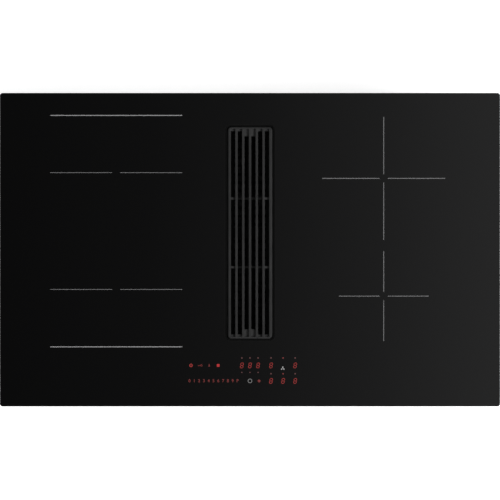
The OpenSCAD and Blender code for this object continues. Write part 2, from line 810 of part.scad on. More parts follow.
module impeller() color([0.16, 0.16, 0.17]) at_blower(0) {
    cap_r = bell_out + hub_gap;
    z_cap = z_bell + bell_h + seat_gap;
    // Back plate, with the dome that covers the motor
    rotate_extrude() polygon([[cap_r, z_impeller], [impeller_r, z_impeller],
        [impeller_r, z_impeller + ring_t],
        [cap_r + hub_t + cap_round, z_impeller + ring_t],
            [cap_r + hub_t, z_impeller + ring_t + cap_round],
        [cap_r + hub_t, z_cap], [cap_r, z_cap + hub_t], [shaft_rad + seat_gap, z_cap + hub_t],
        [shaft_rad + seat_gap, z_cap], [cap_r, z_cap]]);
    // Front ring
    translate([0, 0, z_shroud - ring_t]) ring(impeller_r, throat_r + wall + shroud_gap, ring_t);
    for (i = [0:blade_count - 1])
        rotate(i * 360 / blade_count) translate([0, 0, z_impeller + ring_t / 2]) blade();
}

module rotor_bell() color([0.5, 0.5, 0.52]) at_blower(z_bell) {
    ring(bell_out, bell_out - bell_t, bell_h);
    translate([0, 0, magnet_edge]) ring(bell_out - bell_t, bell_out - bell_t - magnet_t, magnet_h);
    translate([0, 0, bell_h - bell_t]) ring(bell_out, shaft_rad + press_gap, bell_t);
    translate([0, 0, bell_h - bell_t - hub_h]) ring(bearing_out, shaft_rad + press_gap, hub_h);
}

module motor_shaft() color([0.75, 0.75, 0.77])
    at_blower(z_tube + seat_gap)
        cylinder(r = shaft_rad, h = z_bell + bell_h + shaft_end - z_tube - seat_gap);

// Laminated core with a wound pole every 30 degrees
module motor_stator() color([0.72, 0.42, 0.2]) at_blower(z_tube + stator_lift) {
    ring(tube_r + stator_hub_t, tube_r + press_gap, stator_h);
    for (i = [0:stator_poles - 1]) rotate(i * 360 / stator_poles) {
        translate([tube_r + stator_hub_t / 2, -pole_w / 2, core_t])
            cube([stator_r - pole_face_t / 2 - tube_r - stator_hub_t / 2, pole_w, stator_h - 2 * core_t]);
        translate([tube_r + stator_hub_t + core_t, -coil_w / 2, 0])
            cube([stator_r - pole_face_t - tube_r - stator_hub_t - 2 * core_t, coil_w, stator_h]);
        intersection() {
            translate([0, 0, core_t]) ring(stator_r, stator_r - pole_face_t, stator_h - 2 * core_t);
            translate([0, -pole_face_w / 2, 0]) cube([stator_r + 1, pole_face_w, stator_h]);
        }
    }
}

module motor_base() color([0.6, 0.6, 0.62]) difference() {
    union() {
        at_blower(scroll_floor) cylinder(r = motor_plate_r, h = motor_plate_t);
        at_blower(scroll_floor) cylinder(r = tube_r, h = tube_top - scroll_floor);
    }
    at_blower(z_tube) cylinder(r = bearing_out, h = tube_top);
    at_motor_screws() cylinder(r = screw_r + hole_gap, h = 3 * motor_plate_t, center = true, $fn = 24);
}

module at_motor_screws() {
    for (a = [45:90:315]) at_blower(scroll_floor + motor_plate_t) rotate(a)
        translate([motor_plate_r - motor_screw_in, 0, 0]) children();
}

module motor_bearings() color([0.7, 0.7, 0.72]) {
    for (z = [z_tube + 1, tube_top - bearing_h]) at_blower(z) difference() {
        cylinder(r = bearing_out - press_gap, h = bearing_h);
        translate([0, 0, -1]) cylinder(r = shaft_rad + bearing_gap, h = bearing_h + 2);
        translate([0, 0, bearing_h - shield_drop]) ring(bearing_out - race_w, shaft_rad + race_w, 1);
    }
}

// Outlet

stub_l = 8;
duct_y0 = outlet_y + stub_l;
duct_y1 = case_d / 2 + duct_past;
bead_w = 3;
bead_out = 1.5;
duct_flare_y = duct_y1 - duct_l;

// The duct's outline seen from above, taken in by the wall for its inside
module duct_plan(inset, y_start, y_end) {
    polygon([[outlet_x0 - wall + inset, y_start], [outlet_x0 - wall + inset, duct_y0],
        [duct_x - duct_w / 2 + inset, duct_flare_y], [duct_x - duct_w / 2 + inset, y_end],
        [duct_x + duct_w / 2 - inset, y_end], [duct_x + duct_w / 2 - inset, duct_flare_y],
        [outlet_x1 + wall - inset, duct_y0], [outlet_x1 + wall - inset, y_start]]);
}

module outlet_spigot() color([0.16, 0.16, 0.17]) difference() {
    union() {
        translate([0, 0, duct_z]) linear_extrude(duct_h) duct_plan(0, outlet_y, duct_y1);
        translate([outlet_x0 - wall - flange_w, outlet_y, duct_z])
            cube([outlet_x1 - outlet_x0 + 2 * wall + 2 * flange_w, flange_t, duct_h]);
        // Stop bead for the duct that is pushed over the end
        translate([duct_x - duct_w / 2 - bead_out, duct_flare_y, duct_z])
            cube([duct_w + 2 * bead_out, bead_w, duct_h]);
    }
    translate([0, 0, duct_z + wall]) linear_extrude(duct_h - 2 * wall)
        duct_plan(wall, outlet_y - 1, duct_y1 + 1);
    at_outlet_ears(ear_levels) cylinder(r = screw_r, h = 4 * flange_t, center = true, $fn = 24);
}

// Fixings and control of the blower

boss_screw_l = 16;
control_w = 104;
control_d = 84;
control_h = 34;
control_space = 14;
control_x = -(shaft_w / 2 + control_w / 2 + control_space);
control_y = 0;
control_r = 4;
tab_l = 12;
tab_w = 20;
tab_t = 3;
plug_w = 18;
plug_h = 12;
plug_out = 5;
plug_pitch = 26;
plug_lift = 8;
lid_slot_w = 3;
lid_slot_l = 44;
lid_slot_pitch = 8;
lid_slot_deep = 2;
control_screws = [for (s = [-1, 1]) [control_x + s * (control_w + tab_l) / 2, control_y]];

module blower_control() color([0.13, 0.13, 0.14]) difference() {
    union() {
        translate([control_x, control_y, z_pan - control_h])
            round_plate(control_w, control_d, control_r, control_h);
        translate([control_x, control_y, z_pan - tab_t])
            round_plate(control_w + 2 * tab_l, tab_w, 2 * control_r, tab_t);
        // Plug sockets on the front
        for (i = [-1, 0, 1]) translate([control_x + i * plug_pitch - plug_w / 2,
            control_y - control_d / 2 - plug_out,
            z_pan - control_h + plug_lift]) cube([plug_w, plug_out + 1, plug_h]);
    }
    for (p = control_screws) translate([p[0], p[1], z_pan])
        cylinder(r = screw_r + hole_gap, h = 4 * tab_t, center = true, $fn = 24);
    // Cooling slots in the lid
    for (i = [-4:4]) translate([control_x + i * lid_slot_pitch - lid_slot_w / 2,
        control_y - lid_slot_l / 2,
        z_pan - control_h - 1]) cube([lid_slot_w, lid_slot_l, lid_slot_deep + 1]);
    // Openings of the sockets
    for (i = [-1, 0, 1]) translate([control_x + i * plug_pitch - plug_w / 2 + 2,
        control_y - control_d / 2 - plug_out - 1,
        z_pan - control_h + plug_lift + 2]) cube([plug_w - 4, plug_out, plug_h - 4]);
}

module blower_screws() color([0.7, 0.7, 0.72]) {
    translate([0, 0, z_cover]) at_bosses() mirror([0, 0, 1]) screw_up(screw_r, boss_screw_l);
    at_outlet_ears(ear_levels) translate([0, 0, flange_t]) mirror([0, 0, 1])
        screw_up(screw_r, 2 * flange_t + 2);
    at_motor_screws() mirror([0, 0, 1]) screw_up(screw_r, motor_screw_l);
    for (p = hanger_places) translate([p[0], p[1], z_floor]) mirror([0, 0, 1])
        screw_up(screw_r, hanger_screw_l);
    for (p = concat(shaft_screws, control_screws)) translate([p[0], p[1], z_pan - flange_t])
        screw_up(screw_r, flange_t + sheet_t + 2);
}

// Case

case_r = 8;
case_wall_top = z_glass - 1;
fan_x = zone_x;
fan_y = -115;
fan_size = 80;
fan_h = 25;
fan_hole_r = fan_size / 2 - 2.5;
carrier_margin = 18.5;
carrier_trim = 3;
carrier_w = flex_w + 2 * carrier_margin;
carrier_d = 2 * flex_d - 2 * carrier_trim;
carrier_y = (flex_rear_y + flex_front_y) / 2;
carrier_r = 10;
post_r = 4;
post_in_x = 7;
post_in_y = 8;
clamp_in = 24;
clamp_screw_r = 2.5;
pod_front = 61;
control_pod_x = -12;
control_pod_y = pod_front - glass_d / 2;
pod_w = 212;
pod_d = 54;
terminal_w = 92;
terminal_d = 62;
terminal_in = 36;
terminal_x = -240;
terminal_y = case_d / 2 - terminal_in - terminal_d / 2;

module at_fans() {
    for (s = [-1, 1]) translate([s * fan_x, fan_y, 0]) children();
}

// Places of the clamps' screws under the corners of the case
clamp_x = case_w / 2 - clamp_in;
clamp_y = case_d / 2 - clamp_in;
clamp_places = [for (sx = [-1, 1], sy = [-1, 1]) [sx * clamp_x, sy * clamp_y]];

vent_count = 12;
vent_l = 56;
vent_w = 4;
vent_pitch = 13;
vent_in = 46;
vent_y = -52;
terminal_hole_r = 12;
control_hole_r = 7;
control_hole_y = 30;

// Pressed beads that stiffen the floor: each has its middle, its length along X and along Y
floor_bead_w = 12;
floor_bead_h = 1.2;
floor_beads = concat([for (x = [-296, -268, -240, -212, -184]) [x, 42, floor_bead_w, 150]],
    [for (s = [-1, 1], y = [-172, -196]) [s * 230, y, 170, floor_bead_w]],
    [[302, 70, floor_bead_w, 150], [-150, 130, 70, floor_bead_w], [-150, 160, 70, floor_bead_w]]);

module case_pan() color([0.62, 0.63, 0.65]) difference() {
    union() {
        difference() {
            translate([0, 0, z_pan]) round_plate(case_w, case_d, case_r, case_wall_top - z_pan);
            translate([0, 0, z_floor])
                round_plate(case_w - 2 * sheet_t, case_d - 2 * sheet_t, case_r - sheet_t, case_h);
        }
        for (b = floor_beads) translate([b[0], b[1], z_pan])
            round_plate(b[2], b[3], floor_bead_w / 2 - 0.1, sheet_t + floor_bead_h);
    }
    for (b = floor_beads) translate([b[0], b[1], z_pan - 1])
        round_plate(b[2] - 2 * sheet_t, b[3] - 2 * sheet_t, floor_bead_w / 2 - sheet_t - 0.1,
            1 + floor_bead_h);
    intake_cut(throat_in - collar_wall - seat_gap, z_pan - 1, z_floor + 1);
    at_fans() translate([0, 0, z_pan - 1]) cylinder(r = fan_hole_r, h = sheet_t + 2);
    for (s = [-1, 1], i = [0:vent_count - 1])
        translate([s * (case_w / 2 - vent_in) - vent_l / 2, vent_y + i * vent_pitch, z_pan - 1])
            cube([vent_l, vent_w, sheet_t + 2]);
    for (p = concat(hanger_places, shaft_screws, control_screws)) translate([p[0], p[1], z_pan])
        cylinder(r = screw_r + hole_gap, h = 4, center = true, $fn = 24);
    for (p = clamp_places) translate([p[0], p[1], z_pan])
        cylinder(r = clamp_screw_r + hole_gap, h = 4, center = true, $fn = 24);
    // Wires to the mains terminals and to the blower
    translate([terminal_x, terminal_y, z_pan - 1]) cylinder(r = terminal_hole_r, h = sheet_t + 2);
    translate([control_x, control_y + control_hole_y, z_pan - 1])
        cylinder(r = control_hole_r, h = sheet_t + 2);
    at_side_screws() cylinder(r = screw_r + hole_gap, h = 8, center = true, $fn = 24);
}

module case_screws() color([0.7, 0.7, 0.72])
    at_side_screws() screw_up(screw_r, sheet_t + seat_gap + frame_t + 2);

guard_t = 2;
guard_wire = 2;
guard_pitch = 9;
guard_hub_r = 12;
guard_bar = 3;
guard_eye_r = 4;

module fan_guards() color([0.2, 0.2, 0.2]) at_fans() translate([0, 0, z_pan - guard_t]) {
    for (i = [0:3]) ring(guard_hub_r + i * guard_pitch + guard_wire / 2,
        guard_hub_r + i * guard_pitch - guard_wire / 2, guard_t);
    for (a = [45:90:315]) rotate(a) {
        translate([guard_hub_r - 1, -guard_bar / 2, 0])
            cube([3 * guard_pitch + guard_wire, guard_bar, guard_t]);
        translate([guard_hub_r + 3 * guard_pitch + guard_eye_r, 0, 0])
            ring(guard_eye_r, screw_r, guard_t);
    }
    cylinder(r = guard_hub_r - guard_wire / 4, h = guard_t);
}

// Coils

mica_t = 0.8;
litz_h = 3.5;
litz_gap = 0.6;
former_t = 2;
ferrite_t = 4.5;
carrier_t = 1.2;
z_winding = z_glass - mica_t - litz_gap - litz_h;
z_former = z_winding - former_t;
z_ferrite = z_former - ferrite_t;
z_carrier = z_ferrite - carrier_t;
former_edge = 2;
former_hole = 10;
coil_in = 15;
flex_side = 6;
flex_end = 5;
round_edge = 2;
round_core = 22;
former_r = 40;
ferrite_w = 15;
ferrite_in = 26;
ferrite_edge = 6;
flex_coil_w = flex_w - 2 * flex_side;
flex_coil_d = flex_d - 2 * flex_end;
flex_turns = floor((flex_coil_d / 2 - coil_in - flex_side) / winding_pitch);
large_turns = floor((large_d / 2 - round_edge - round_core) / winding_pitch);
small_turns = floor((small_d / 2 - round_edge - round_core) / winding_pitch);

// One side of a winding that spirals out round a core rectangle of half sizes cx and cy,
// from radius r0 at the corners. side is -1 for the strand's inner and 1 for its outer edge.
function spiral_side(turns, r0, cx, cy, steps, side) =
    [for (k = [0:4 * turns - 1], j = [0:cx > 0 ? steps : steps - 1])
        let (a = 90 * (k + j / steps), q = k % 4, r = r0 + winding_pitch * a / 360 + side * litz_w / 2)
        [(q == 0 || q == 3 ? cx : -cx) + r * cos(a), (q < 2 ? cy : -cy) + r * sin(a)]];

function reversed(list) = [for (i = [len(list) - 1:-1:0]) list[i]];

module winding(x, y, turns, r0, cx, cy, steps) {
    color([0.72, 0.42, 0.2]) translate([x, y, z_winding]) linear_extrude(litz_h)
        polygon(concat(spiral_side(turns, r0, cx, cy, steps, -1),
            reversed(spiral_side(turns, r0, cx, cy, steps, 1))));
}

module flex_winding(y) {
    reach = coil_in + flex_turns * winding_pitch + litz_w / 2;
    winding(-zone_x, y, flex_turns, coil_in, flex_coil_w / 2 - reach, flex_coil_d / 2 - reach, 6);
}

module round_winding(y, d, turns) {
    winding(zone_x, y, turns, d / 2 - round_edge - turns * winding_pitch - litz_w / 2, 0, 0, 9);
}

module winding_left_rear() flex_winding(flex_rear_y);
module winding_left_front() flex_winding(flex_front_y);
module winding_right_rear() round_winding(large_y, large_d, large_turns);
module winding_right_front() round_winding(small_y, small_d, small_turns);

module flex_former(y, h) {
    linear_extrude(h) difference() {
        translate([-zone_x, y])
            round_rect(flex_coil_w + 2 * former_edge, flex_coil_d + 2 * former_edge, former_r);
        translate([-zone_x, y]) circle(former_hole);
    }
}

module round_former(y, d, h) {
    translate([zone_x, y, 0]) ring(d / 2 - round_edge + former_edge, former_hole, h);
}

module coil_former_left_rear() color([0.85, 0.84, 0.8]) translate([0, 0, z_former])
    flex_former(flex_rear_y, former_t);
module coil_former_left_front() color([0.85, 0.84, 0.8]) translate([0, 0, z_former])
    flex_former(flex_front_y, former_t);
module coil_former_right_rear() color([0.85, 0.84, 0.8]) translate([0, 0, z_former])
    round_former(large_y, large_d, former_t);
module coil_former_right_front() color([0.85, 0.84, 0.8]) translate([0, 0, z_former])
    round_former(small_y, small_d, former_t);

module mica_sheets() color([0.8, 0.76, 0.66]) translate([0, 0, z_glass - mica_t]) {
    flex_former(flex_rear_y, mica_t);
    flex_former(flex_front_y, mica_t);
    round_former(large_y, large_d, mica_t);
    round_former(small_y, small_d, mica_t);
}

// Bars of ferrite that point away from a coil's middle
module ferrite_star(x, y, r_in, r_out, bar_width) {
    for (i = [0:7]) translate([x, y, z_ferrite]) rotate(i * 45 + 22.5)
        translate([r_in, -bar_width / 2, 0]) cube([r_out - r_in, bar_width, ferrite_t]);
}

module ferrite_bars() color([0.22, 0.22, 0.23]) {
    for (y = [flex_rear_y, flex_front_y])
        ferrite_star(-zone_x, y, ferrite_in, flex_coil_d / 2 - ferrite_edge, ferrite_w);
    ferrite_star(zone_x, large_y, ferrite_in, large_d / 2 - ferrite_edge, ferrite_w);
    ferrite_star(zone_x, small_y, ferrite_in, small_d / 2 - ferrite_edge, ferrite_w);
}

sensor_r = 4;
eddy_w = 4;
eddy_l = 50;
eddy_in = 20;
coil_centres = [[-zone_x, flex_rear_y], [-zone_x, flex_front_y], [zone_x, large_y], [zone_x, small_y]];

module coil_sensors() color([0.8, 0.8, 0.78]) {
    for (p = coil_centres) translate([p[0], p[1], z_carrier + carrier_t]) {
        cylinder(r = former_hole - seat_gap, h = ferrite_t + former_t - seat_gap);
        cylinder(r = sensor_r, h = z_glass - z_carrier - carrier_t);
    }
}

carrier_posts_xy = [for (s = [-1, 1], sy = [-1, 1])
    [s * (carrier_w / 2 - post_in_x), carrier_y + sy * (carrier_d / 2 - post_in_y)]];

module coil_carrier(side) {
    color([0.75, 0.76, 0.78]) translate([side * zone_x, 0, z_carrier]) linear_extrude(carrier_t)
        difference() {
        translate([0, carrier_y]) round_rect(carrier_w, carrier_d, carrier_r);
        for (p = carrier_posts_xy) translate(p) circle(screw_r + hole_gap, $fn = 24);
        // Slots that keep eddy currents from closing round each coil
        for (p = coil_centres) if (p[0] * side > 0) translate([0, p[1]]) for (i = [0:3])
            rotate(i * 90) translate([eddy_in, -eddy_w / 2]) square([eddy_l, eddy_w]);
    }
}

module coil_carrier_left() coil_carrier(-1);
module coil_carrier_right() coil_carrier(1);

module carrier_posts() color([0.7, 0.7, 0.72]) {
    for (s = [-1, 1], p = carrier_posts_xy) translate([s * zone_x + p[0], p[1], z_floor]) {
        cylinder(r = post_r, h = z_carrier - z_floor, $fn = 32);
        cylinder(r = screw_r, h = z_carrier + carrier_t - z_floor + 0.2, $fn = 24);
        translate([0, 0, z_carrier + carrier_t - z_floor])
            cylinder(r = screw_head_r, h = screw_head_h, $fn = 24);
    }
}

// Electronics

board_in = 17.5;
board_x = zone_x - board_in;
board_y = 70;
board_w = 190;
board_d = 250;
board_t = 1.6;
board_h = 7;
z_board = z_floor + board_h;
z_parts = z_board + board_t;
sink_l = 100;
sink_w = 46;
sink_h = 28;
sink_fins = 9;
sink_base = 4;
fin_t = 1.5;
sink_x = 52;
sink_y = 60;
stand_r = 3;
stand_in = 7;

board_stands = [for (sx = [-1, 1], sy = [-1, 1])
    [sx * (board_w / 2 - stand_in), sy * (board_d / 2 - stand_in)]];

module power_board(side) {
    translate([side * board_x, board_y, 0]) {
        color([0.1, 0.35, 0.2]) translate([0, 0, z_board]) linear_extrude(board_t) difference() {
            square([board_w, board_d], center = true);
            for (p = board_stands) translate(p) circle(screw_r, $fn = 24);
        }
        for (p = board_stands) translate([p[0], p[1], z_floor]) {
            cylinder(r = stand_r, h = board_h, $fn = 24);
            cylinder(r = screw_r - hole_gap, h = board_h + board_t + 2, $fn = 24);
        }
    }
}

module power_board_left() power_board(-1);
module power_board_right() power_board(1);

sink_places = [for (s = [-1, 1], y = [-1, 1]) [s * board_x - sink_x, board_y + y * sink_y]];

module heatsink() {
    translate([-sink_w / 2, -sink_l / 2, 0]) cube([sink_w, sink_l, sink_base]);
    for (i = [0:sink_fins - 1])
        translate([-sink_w / 2 + i * (sink_w - fin_t) / (sink_fins - 1), -sink_l / 2,
            sink_base - overlap])
            cube([fin_t, sink_l, sink_h - sink_base + overlap]);
}

module heatsinks() color([0.75, 0.76, 0.78]) {
    for (p = sink_places) translate([p[0], p[1], z_parts]) heatsink();
}

capacitor_r = 11;
capacitor_h = 27;
capacitor_pitch = 32;
capacitor_x = -8;
capacitor_y = -95;
choke_w = 30;
choke_l = 26;
choke_h = 22;
choke_base = 5;
choke_pitch = 40;
choke_x = 25;
choke_y = -100;
coil_r = 10;
coil_wire_r = 4.5;
coil_pitch = 35;
coil_y = 25;
relay_w = 28;
relay_l = 16;
relay_h = 15;
relay_pitch = 21;
relay_x = 34;
relay_y = 28;
plug_x = 77;
socket_w = 14;
socket_l = 20;
socket_h = 11;
socket_pitch = 30;
diode_r = 4;
diode_h = 14;
diode_x = 55;
diode_y = -60;

// A box that stands on z = 0 with its middle at x and y
module standing_box(x, y, w, l, h) {
    translate([x - w / 2, y - l / 2, 0]) cube([w, l, h]);
}

// Capacitors, chokes, toroids, relays, plugs and a diode on a power board
module parts_group() {
    for (i = [0:3]) translate([capacitor_x, capacitor_y + i * capacitor_pitch, 0])
        cylinder(r = capacitor_r, h = capacitor_h, $fn = 32);
    for (i = [0:2]) {
        standing_box(choke_x, choke_y + i * choke_pitch, choke_w, choke_l, choke_base);
        standing_box(choke_x, choke_y + i * choke_pitch, choke_w - choke_base, choke_l - choke_base,
            choke_h);
        translate([capacitor_x, coil_y + i * coil_pitch, 0])
            rotate_extrude() translate([coil_r, coil_wire_r]) circle(coil_wire_r, $fn = 24);
    }
    for (i = [0:3]) standing_box(relay_x, relay_y + i * relay_pitch, relay_w, relay_l, relay_h);
    for (i = [0:7]) standing_box(plug_x, (i - 3.5) * socket_pitch, socket_w, socket_l, socket_h);
    translate([diode_x, diode_y, 0]) cylinder(r = diode_r, h = diode_h, $fn = 24);
}

module board_parts() color([0.15, 0.15, 0.16]) {
    for (s = [-1, 1]) translate([s * board_x, board_y, z_parts]) parts_group();
}

// Cooling fans

fan_hub_r = 17;
fan_pin_r = 2.5;
fan_web = 3;
fan_arm = 3;
fan_corner = 5;
fan_eye_in = 4;
fan_blades = 7;
fan_chord = 24;
fan_blade_t = 1.8;
fan_pitch_a = 38;
fan_tip_gap = 1;
fan_pin_drop = 5;

module fan_frames() color([0.1, 0.1, 0.1]) at_fans() translate([0, 0, z_floor]) {
    difference() {
        round_plate(fan_size, fan_size, fan_corner, fan_h);
        translate([0, 0, -1]) cylinder(r = fan_hole_r, h = fan_h + 2);
        for (sx = [-1, 1], sy = [-1, 1])
            translate([sx * (fan_size / 2 - fan_eye_in), sy * (fan_size / 2 - fan_eye_in), -1])
            cylinder(r = screw_r, h = fan_h + 2, $fn = 24);
    }
    for (a = [30:120:270]) rotate(a) translate([fan_hub_r / 2, -fan_arm / 2, 0])
        cube([fan_hole_r - fan_hub_r / 2 + overlap, fan_arm, fan_web]);
    cylinder(r = fan_hub_r, h = fan_web);
    cylinder(r = fan_pin_r, h = fan_h - fan_pin_drop);
}

// Curved blade section seen from above, swept up the fan's height
module fan_rotor() {
    z0 = fan_web + 0.5;
    h = fan_h - 1 - z0;
    translate([0, 0, z_floor + z0]) {
        difference() {
            cylinder(r = fan_hub_r, h = h);
            translate([0, 0, -1]) cylinder(r = fan_pin_r + pin_gap, h = fan_h - fan_pin_drop + 2 - z0);
            translate([0, 0, -1]) ring(fan_hub_r - 2, 2 * fan_pin_r + 1, h - 3);
        }
        for (i = [0:fan_blades - 1]) rotate(i * 360 / fan_blades) translate([fan_hub_r - 1, 0, h / 2])
            rotate([fan_pitch_a, 0, 0]) translate([0, -fan_chord / 2, -fan_blade_t / 2])
                cube([fan_hole_r - fan_hub_r - fan_tip_gap, fan_chord, fan_blade_t]);
    }
}

module fan_rotor_left() color([0.1, 0.1, 0.1]) translate([-fan_x, fan_y, 0]) fan_rotor();
module fan_rotor_right() color([0.1, 0.1, 0.1]) translate([fan_x, fan_y, 0]) fan_rotor();

// Touch control

key_front = 67.6;
slider_front = 41.8;
key_y = key_front - glass_d / 2;
slider_y = slider_front - glass_d / 2;
key_x0 = -98.4;
key_pitch = 15.1;
slider_x0 = -101;
slider_pitch = 8;
slider_marks = 11;
zone_digit_x = 34.6;
digit_pitch = 13.5;
zone_pitch = 20;
control_drop = 7.6;
z_control = z_glass - control_drop;
display_gap = 0.3;
pod_h = 9;
pod_rail = 4;
pod_end = 3;
pod_floor = 2;
pod_post_in = 8;
pod_post_r = 4;
spring_r = 3;
spring_wall = 0.8;
spring_back = 4;
timer_x = 14.8;
digit_w = 11;
digit_d = 13;

module control_board() color([0.1, 0.3, 0.18])
    translate([control_pod_x, control_pod_y, z_control])
        round_plate(pod_w - 2 * pod_rail, pod_d - 2 * pod_end, 3, board_t);

module control_carrier() color([0.85, 0.85, 0.84]) {
    translate([control_pod_x, control_pod_y, z_control - pod_h]) difference() {
        round_plate(pod_w, pod_d, 4, pod_h + board_t);
        translate([0, 0, pod_floor])
            round_plate(pod_w - 2 * pod_rail - 4, pod_d - 2 * pod_end - 4, 2, pod_h + board_t);
        translate([0, 0, pod_h])
            round_plate(pod_w - 2 * pod_rail + 2 * seat_gap, pod_d - 2 * pod_end + 2 * seat_gap, 3,
                pod_h);
    }
    for (sx = [-1, 1], sy = [-1, 1])
        translate([control_pod_x + sx * (pod_w / 2 - pod_post_in),
            control_pod_y + sy * (pod_d / 2 - pod_post_in), z_floor])
            cylinder(r = pod_post_r, h = z_control - pod_h - z_floor, $fn = 32);
}

touch_places = concat([for (i = [0:3]) [key_x0 + i * key_pitch, key_y]],
    [for (i = [0:slider_marks - 1]) [slider_x0 + i * slider_pitch, slider_y]],
    [[0, slider_y], [timer_x, slider_y], [zone_digit_x + zone_pitch, key_y - spring_back]]);

module touch_springs() color([0.75, 0.76, 0.78]) {
    for (p = touch_places) translate([p[0], p[1], z_control + board_t])
        difference() {
            cylinder(r = spring_r, h = z_glass - z_control - board_t, $fn = 32);
            translate([0, 0, -1]) cylinder(r = spring_r - spring_wall, h = z_glass - z_control, $fn = 32);
        }
}

digit_places = concat([for (i = [-1, 0, 1]) [i * digit_pitch, key_y]],
    [[zone_digit_x, key_y], [zone_digit_x + 2 * zone_pitch, key_y]],
    [for (i = [0:2]) [zone_digit_x + i * zone_pitch, slider_y]]);

module display_modules() color([0.25, 0.02, 0.02]) {
    for (p = digit_places) translate([p[0] - digit_w / 2, p[1] - digit_d / 2, z_control + board_t])
        cube([digit_w, digit_d, z_glass - display_gap - z_control - board_t]);
}

// Mains terminals

terminal_h = 34;
terminal_wall = 2;
hinge_r = 3;
hinge_pin_r = 1.5;
hinge_ear = 6;
z_terminal = z_pan - terminal_h;
hinge_y = terminal_y - terminal_d / 2 - hinge_r - seat_gap;
gland_side = 24;
gland_drop = 17;
gland_x = terminal_x + gland_side;
gland_z = z_pan - gland_drop;
gland_r = 10;
gland_bore = 6.5;
gland_hex_t = 8;
gland_cap_t = 9;
gland_nut_t = 4;
cover_t = 2.2;
terminal_r = 3;
block_w = 60;
block_d = 20;
block_h = 19;
block_y = 12;
poles = 5;
pole_pitch = 11.5;
pole_hole_r = 2.5;
pole_deep = 7;
wire_hole_r = 6;
wire_hole_y = 0;
terminal_back = terminal_y + terminal_d / 2;

module along_x(l) {
    rotate([0, 90, 0]) linear_extrude(l, center = true) children();
}

module terminal_box() color([0.85, 0.85, 0.84]) difference() {
    union() {
        difference() {
            translate([terminal_x, terminal_y, z_terminal])
                round_plate(terminal_w, terminal_d, terminal_r, terminal_h);
            translate([terminal_x, terminal_y, z_terminal - 1])
                round_plate(terminal_w - 2 * terminal_wall,
                terminal_d - 2 * terminal_wall, terminal_r / 2, terminal_h + 1 - terminal_wall);
        }
        // Block of terminals
        translate([terminal_x - block_w / 2, terminal_y - block_y, z_pan - terminal_wall - block_h + 1])
            cube([block_w, block_d, block_h]);
        // Ears of the hinge
        for (s = [-1, 1]) translate([terminal_x + s * (terminal_w / 2 - hinge_ear / 2), hinge_y,
            z_terminal]) {
            rotate([0, 90, 0]) cylinder(r = hinge_r, h = hinge_ear, center = true);
            translate([-hinge_ear / 2, 0, 0]) cube([hinge_ear, hinge_r + seat_gap + 1, 2 * hinge_r]);
        }
    }
    for (i = [0:poles - 1]) translate([terminal_x + (i - (poles - 1) / 2) * pole_pitch,
        terminal_y - block_y + block_d / 2, z_pan - terminal_wall - block_h])
        cylinder(r = pole_hole_r, h = pole_deep + 1, $fn = 24);
    translate([terminal_x, hinge_y, z_terminal]) rotate([0, 90, 0])
        cylinder(r = hinge_pin_r + pin_gap, h = terminal_w + 2, center = true);
    translate([gland_x, terminal_back, gland_z]) rotate([90, 0, 0])
        cylinder(r = gland_r - 2, h = 4 * terminal_wall, center = true);
    translate([terminal_x, terminal_y + wire_hole_y, z_pan - terminal_wall - 1])
        cylinder(r = wire_hole_r, h = terminal_wall + 2);
}

module terminal_cover() color([0.85, 0.85, 0.84]) {
    barrel_l = terminal_w - 2 * hinge_ear - 2 * seat_gap;
    translate([terminal_x, hinge_y, z_terminal]) rotate([0, 90, 0]) {
        cylinder(r = hinge_r, h = barrel_l, center = true);
        cylinder(r = hinge_pin_r, h = terminal_w - 1, center = true);
    }
    translate([terminal_x - barrel_l / 2, hinge_y, z_terminal - seat_gap - cover_t])
        cube([barrel_l, hinge_r + seat_gap + terminal_r, cover_t]);
    translate([terminal_x, terminal_y, z_terminal - seat_gap - cover_t])
        round_plate(terminal_w, terminal_d, terminal_r, cover_t);
}

// The gland's thread passes through the wall, between a hexagon outside and a nut inside
module cable_gland() color([0.2, 0.2, 0.2]) translate([gland_x, terminal_back, gland_z])
    rotate([-90, 0, 0]) difference() {
    union() {
        cylinder(r = gland_r + 2, h = gland_hex_t, $fn = 6);
        translate([0, 0, gland_hex_t]) cylinder(r = gland_r, h = gland_cap_t);
        translate([0, 0, -terminal_wall - gland_nut_t - 1])
            cylinder(r = gland_r - 2 - hole_gap, h = gland_nut_t + 2 + terminal_wall);
        translate([0, 0, -terminal_wall - gland_nut_t])
            cylinder(r = gland_r + 1, h = gland_nut_t, $fn = 6);
    }
    translate([0, 0, -3 * gland_nut_t]) cylinder(r = gland_bore, h = 40);
}

// Hold-down clamps

clamp_l = 45;
clamp_w = 20;
clamp_t = 2;
clamp_tip = 12;
clamp_drop = 15;
clamp_nut_r = 5;
clamp_nut_t = 3;
clamp_head_r = 4.5;
clamp_head_t = 4;
z_clamp = z_pan - clamp_drop;

// Seen from its screw, a clamp points along +X and turns towards +Y
module clamp() {
    difference() {
        union() {
            cylinder(r = clamp_w / 2, h = clamp_t);
            translate([0, -clamp_w / 2, 0]) cube([clamp_l, clamp_w, clamp_t]);
            translate([clamp_l - clamp_t, -clamp_w / 2, 0]) cube([clamp_t, clamp_w, clamp_tip]);
        }
        translate([0, 0, -1]) cylinder(r = clamp_screw_r + pin_gap, h = clamp_t + 2);
    }
}

module placed_clamp(sx, sy) {
    color([0.72, 0.73, 0.75]) translate([sx * clamp_x, sy * clamp_y, z_clamp])
        mirror([sx > 0 ? 1 : 0, 0, 0]) mirror([0, sy < 0 ? 1 : 0, 0]) clamp();
}

module clamp_left_rear() placed_clamp(-1, 1);
module clamp_left_front() placed_clamp(-1, -1);
module clamp_right_rear() placed_clamp(1, 1);
module clamp_right_front() placed_clamp(1, -1);

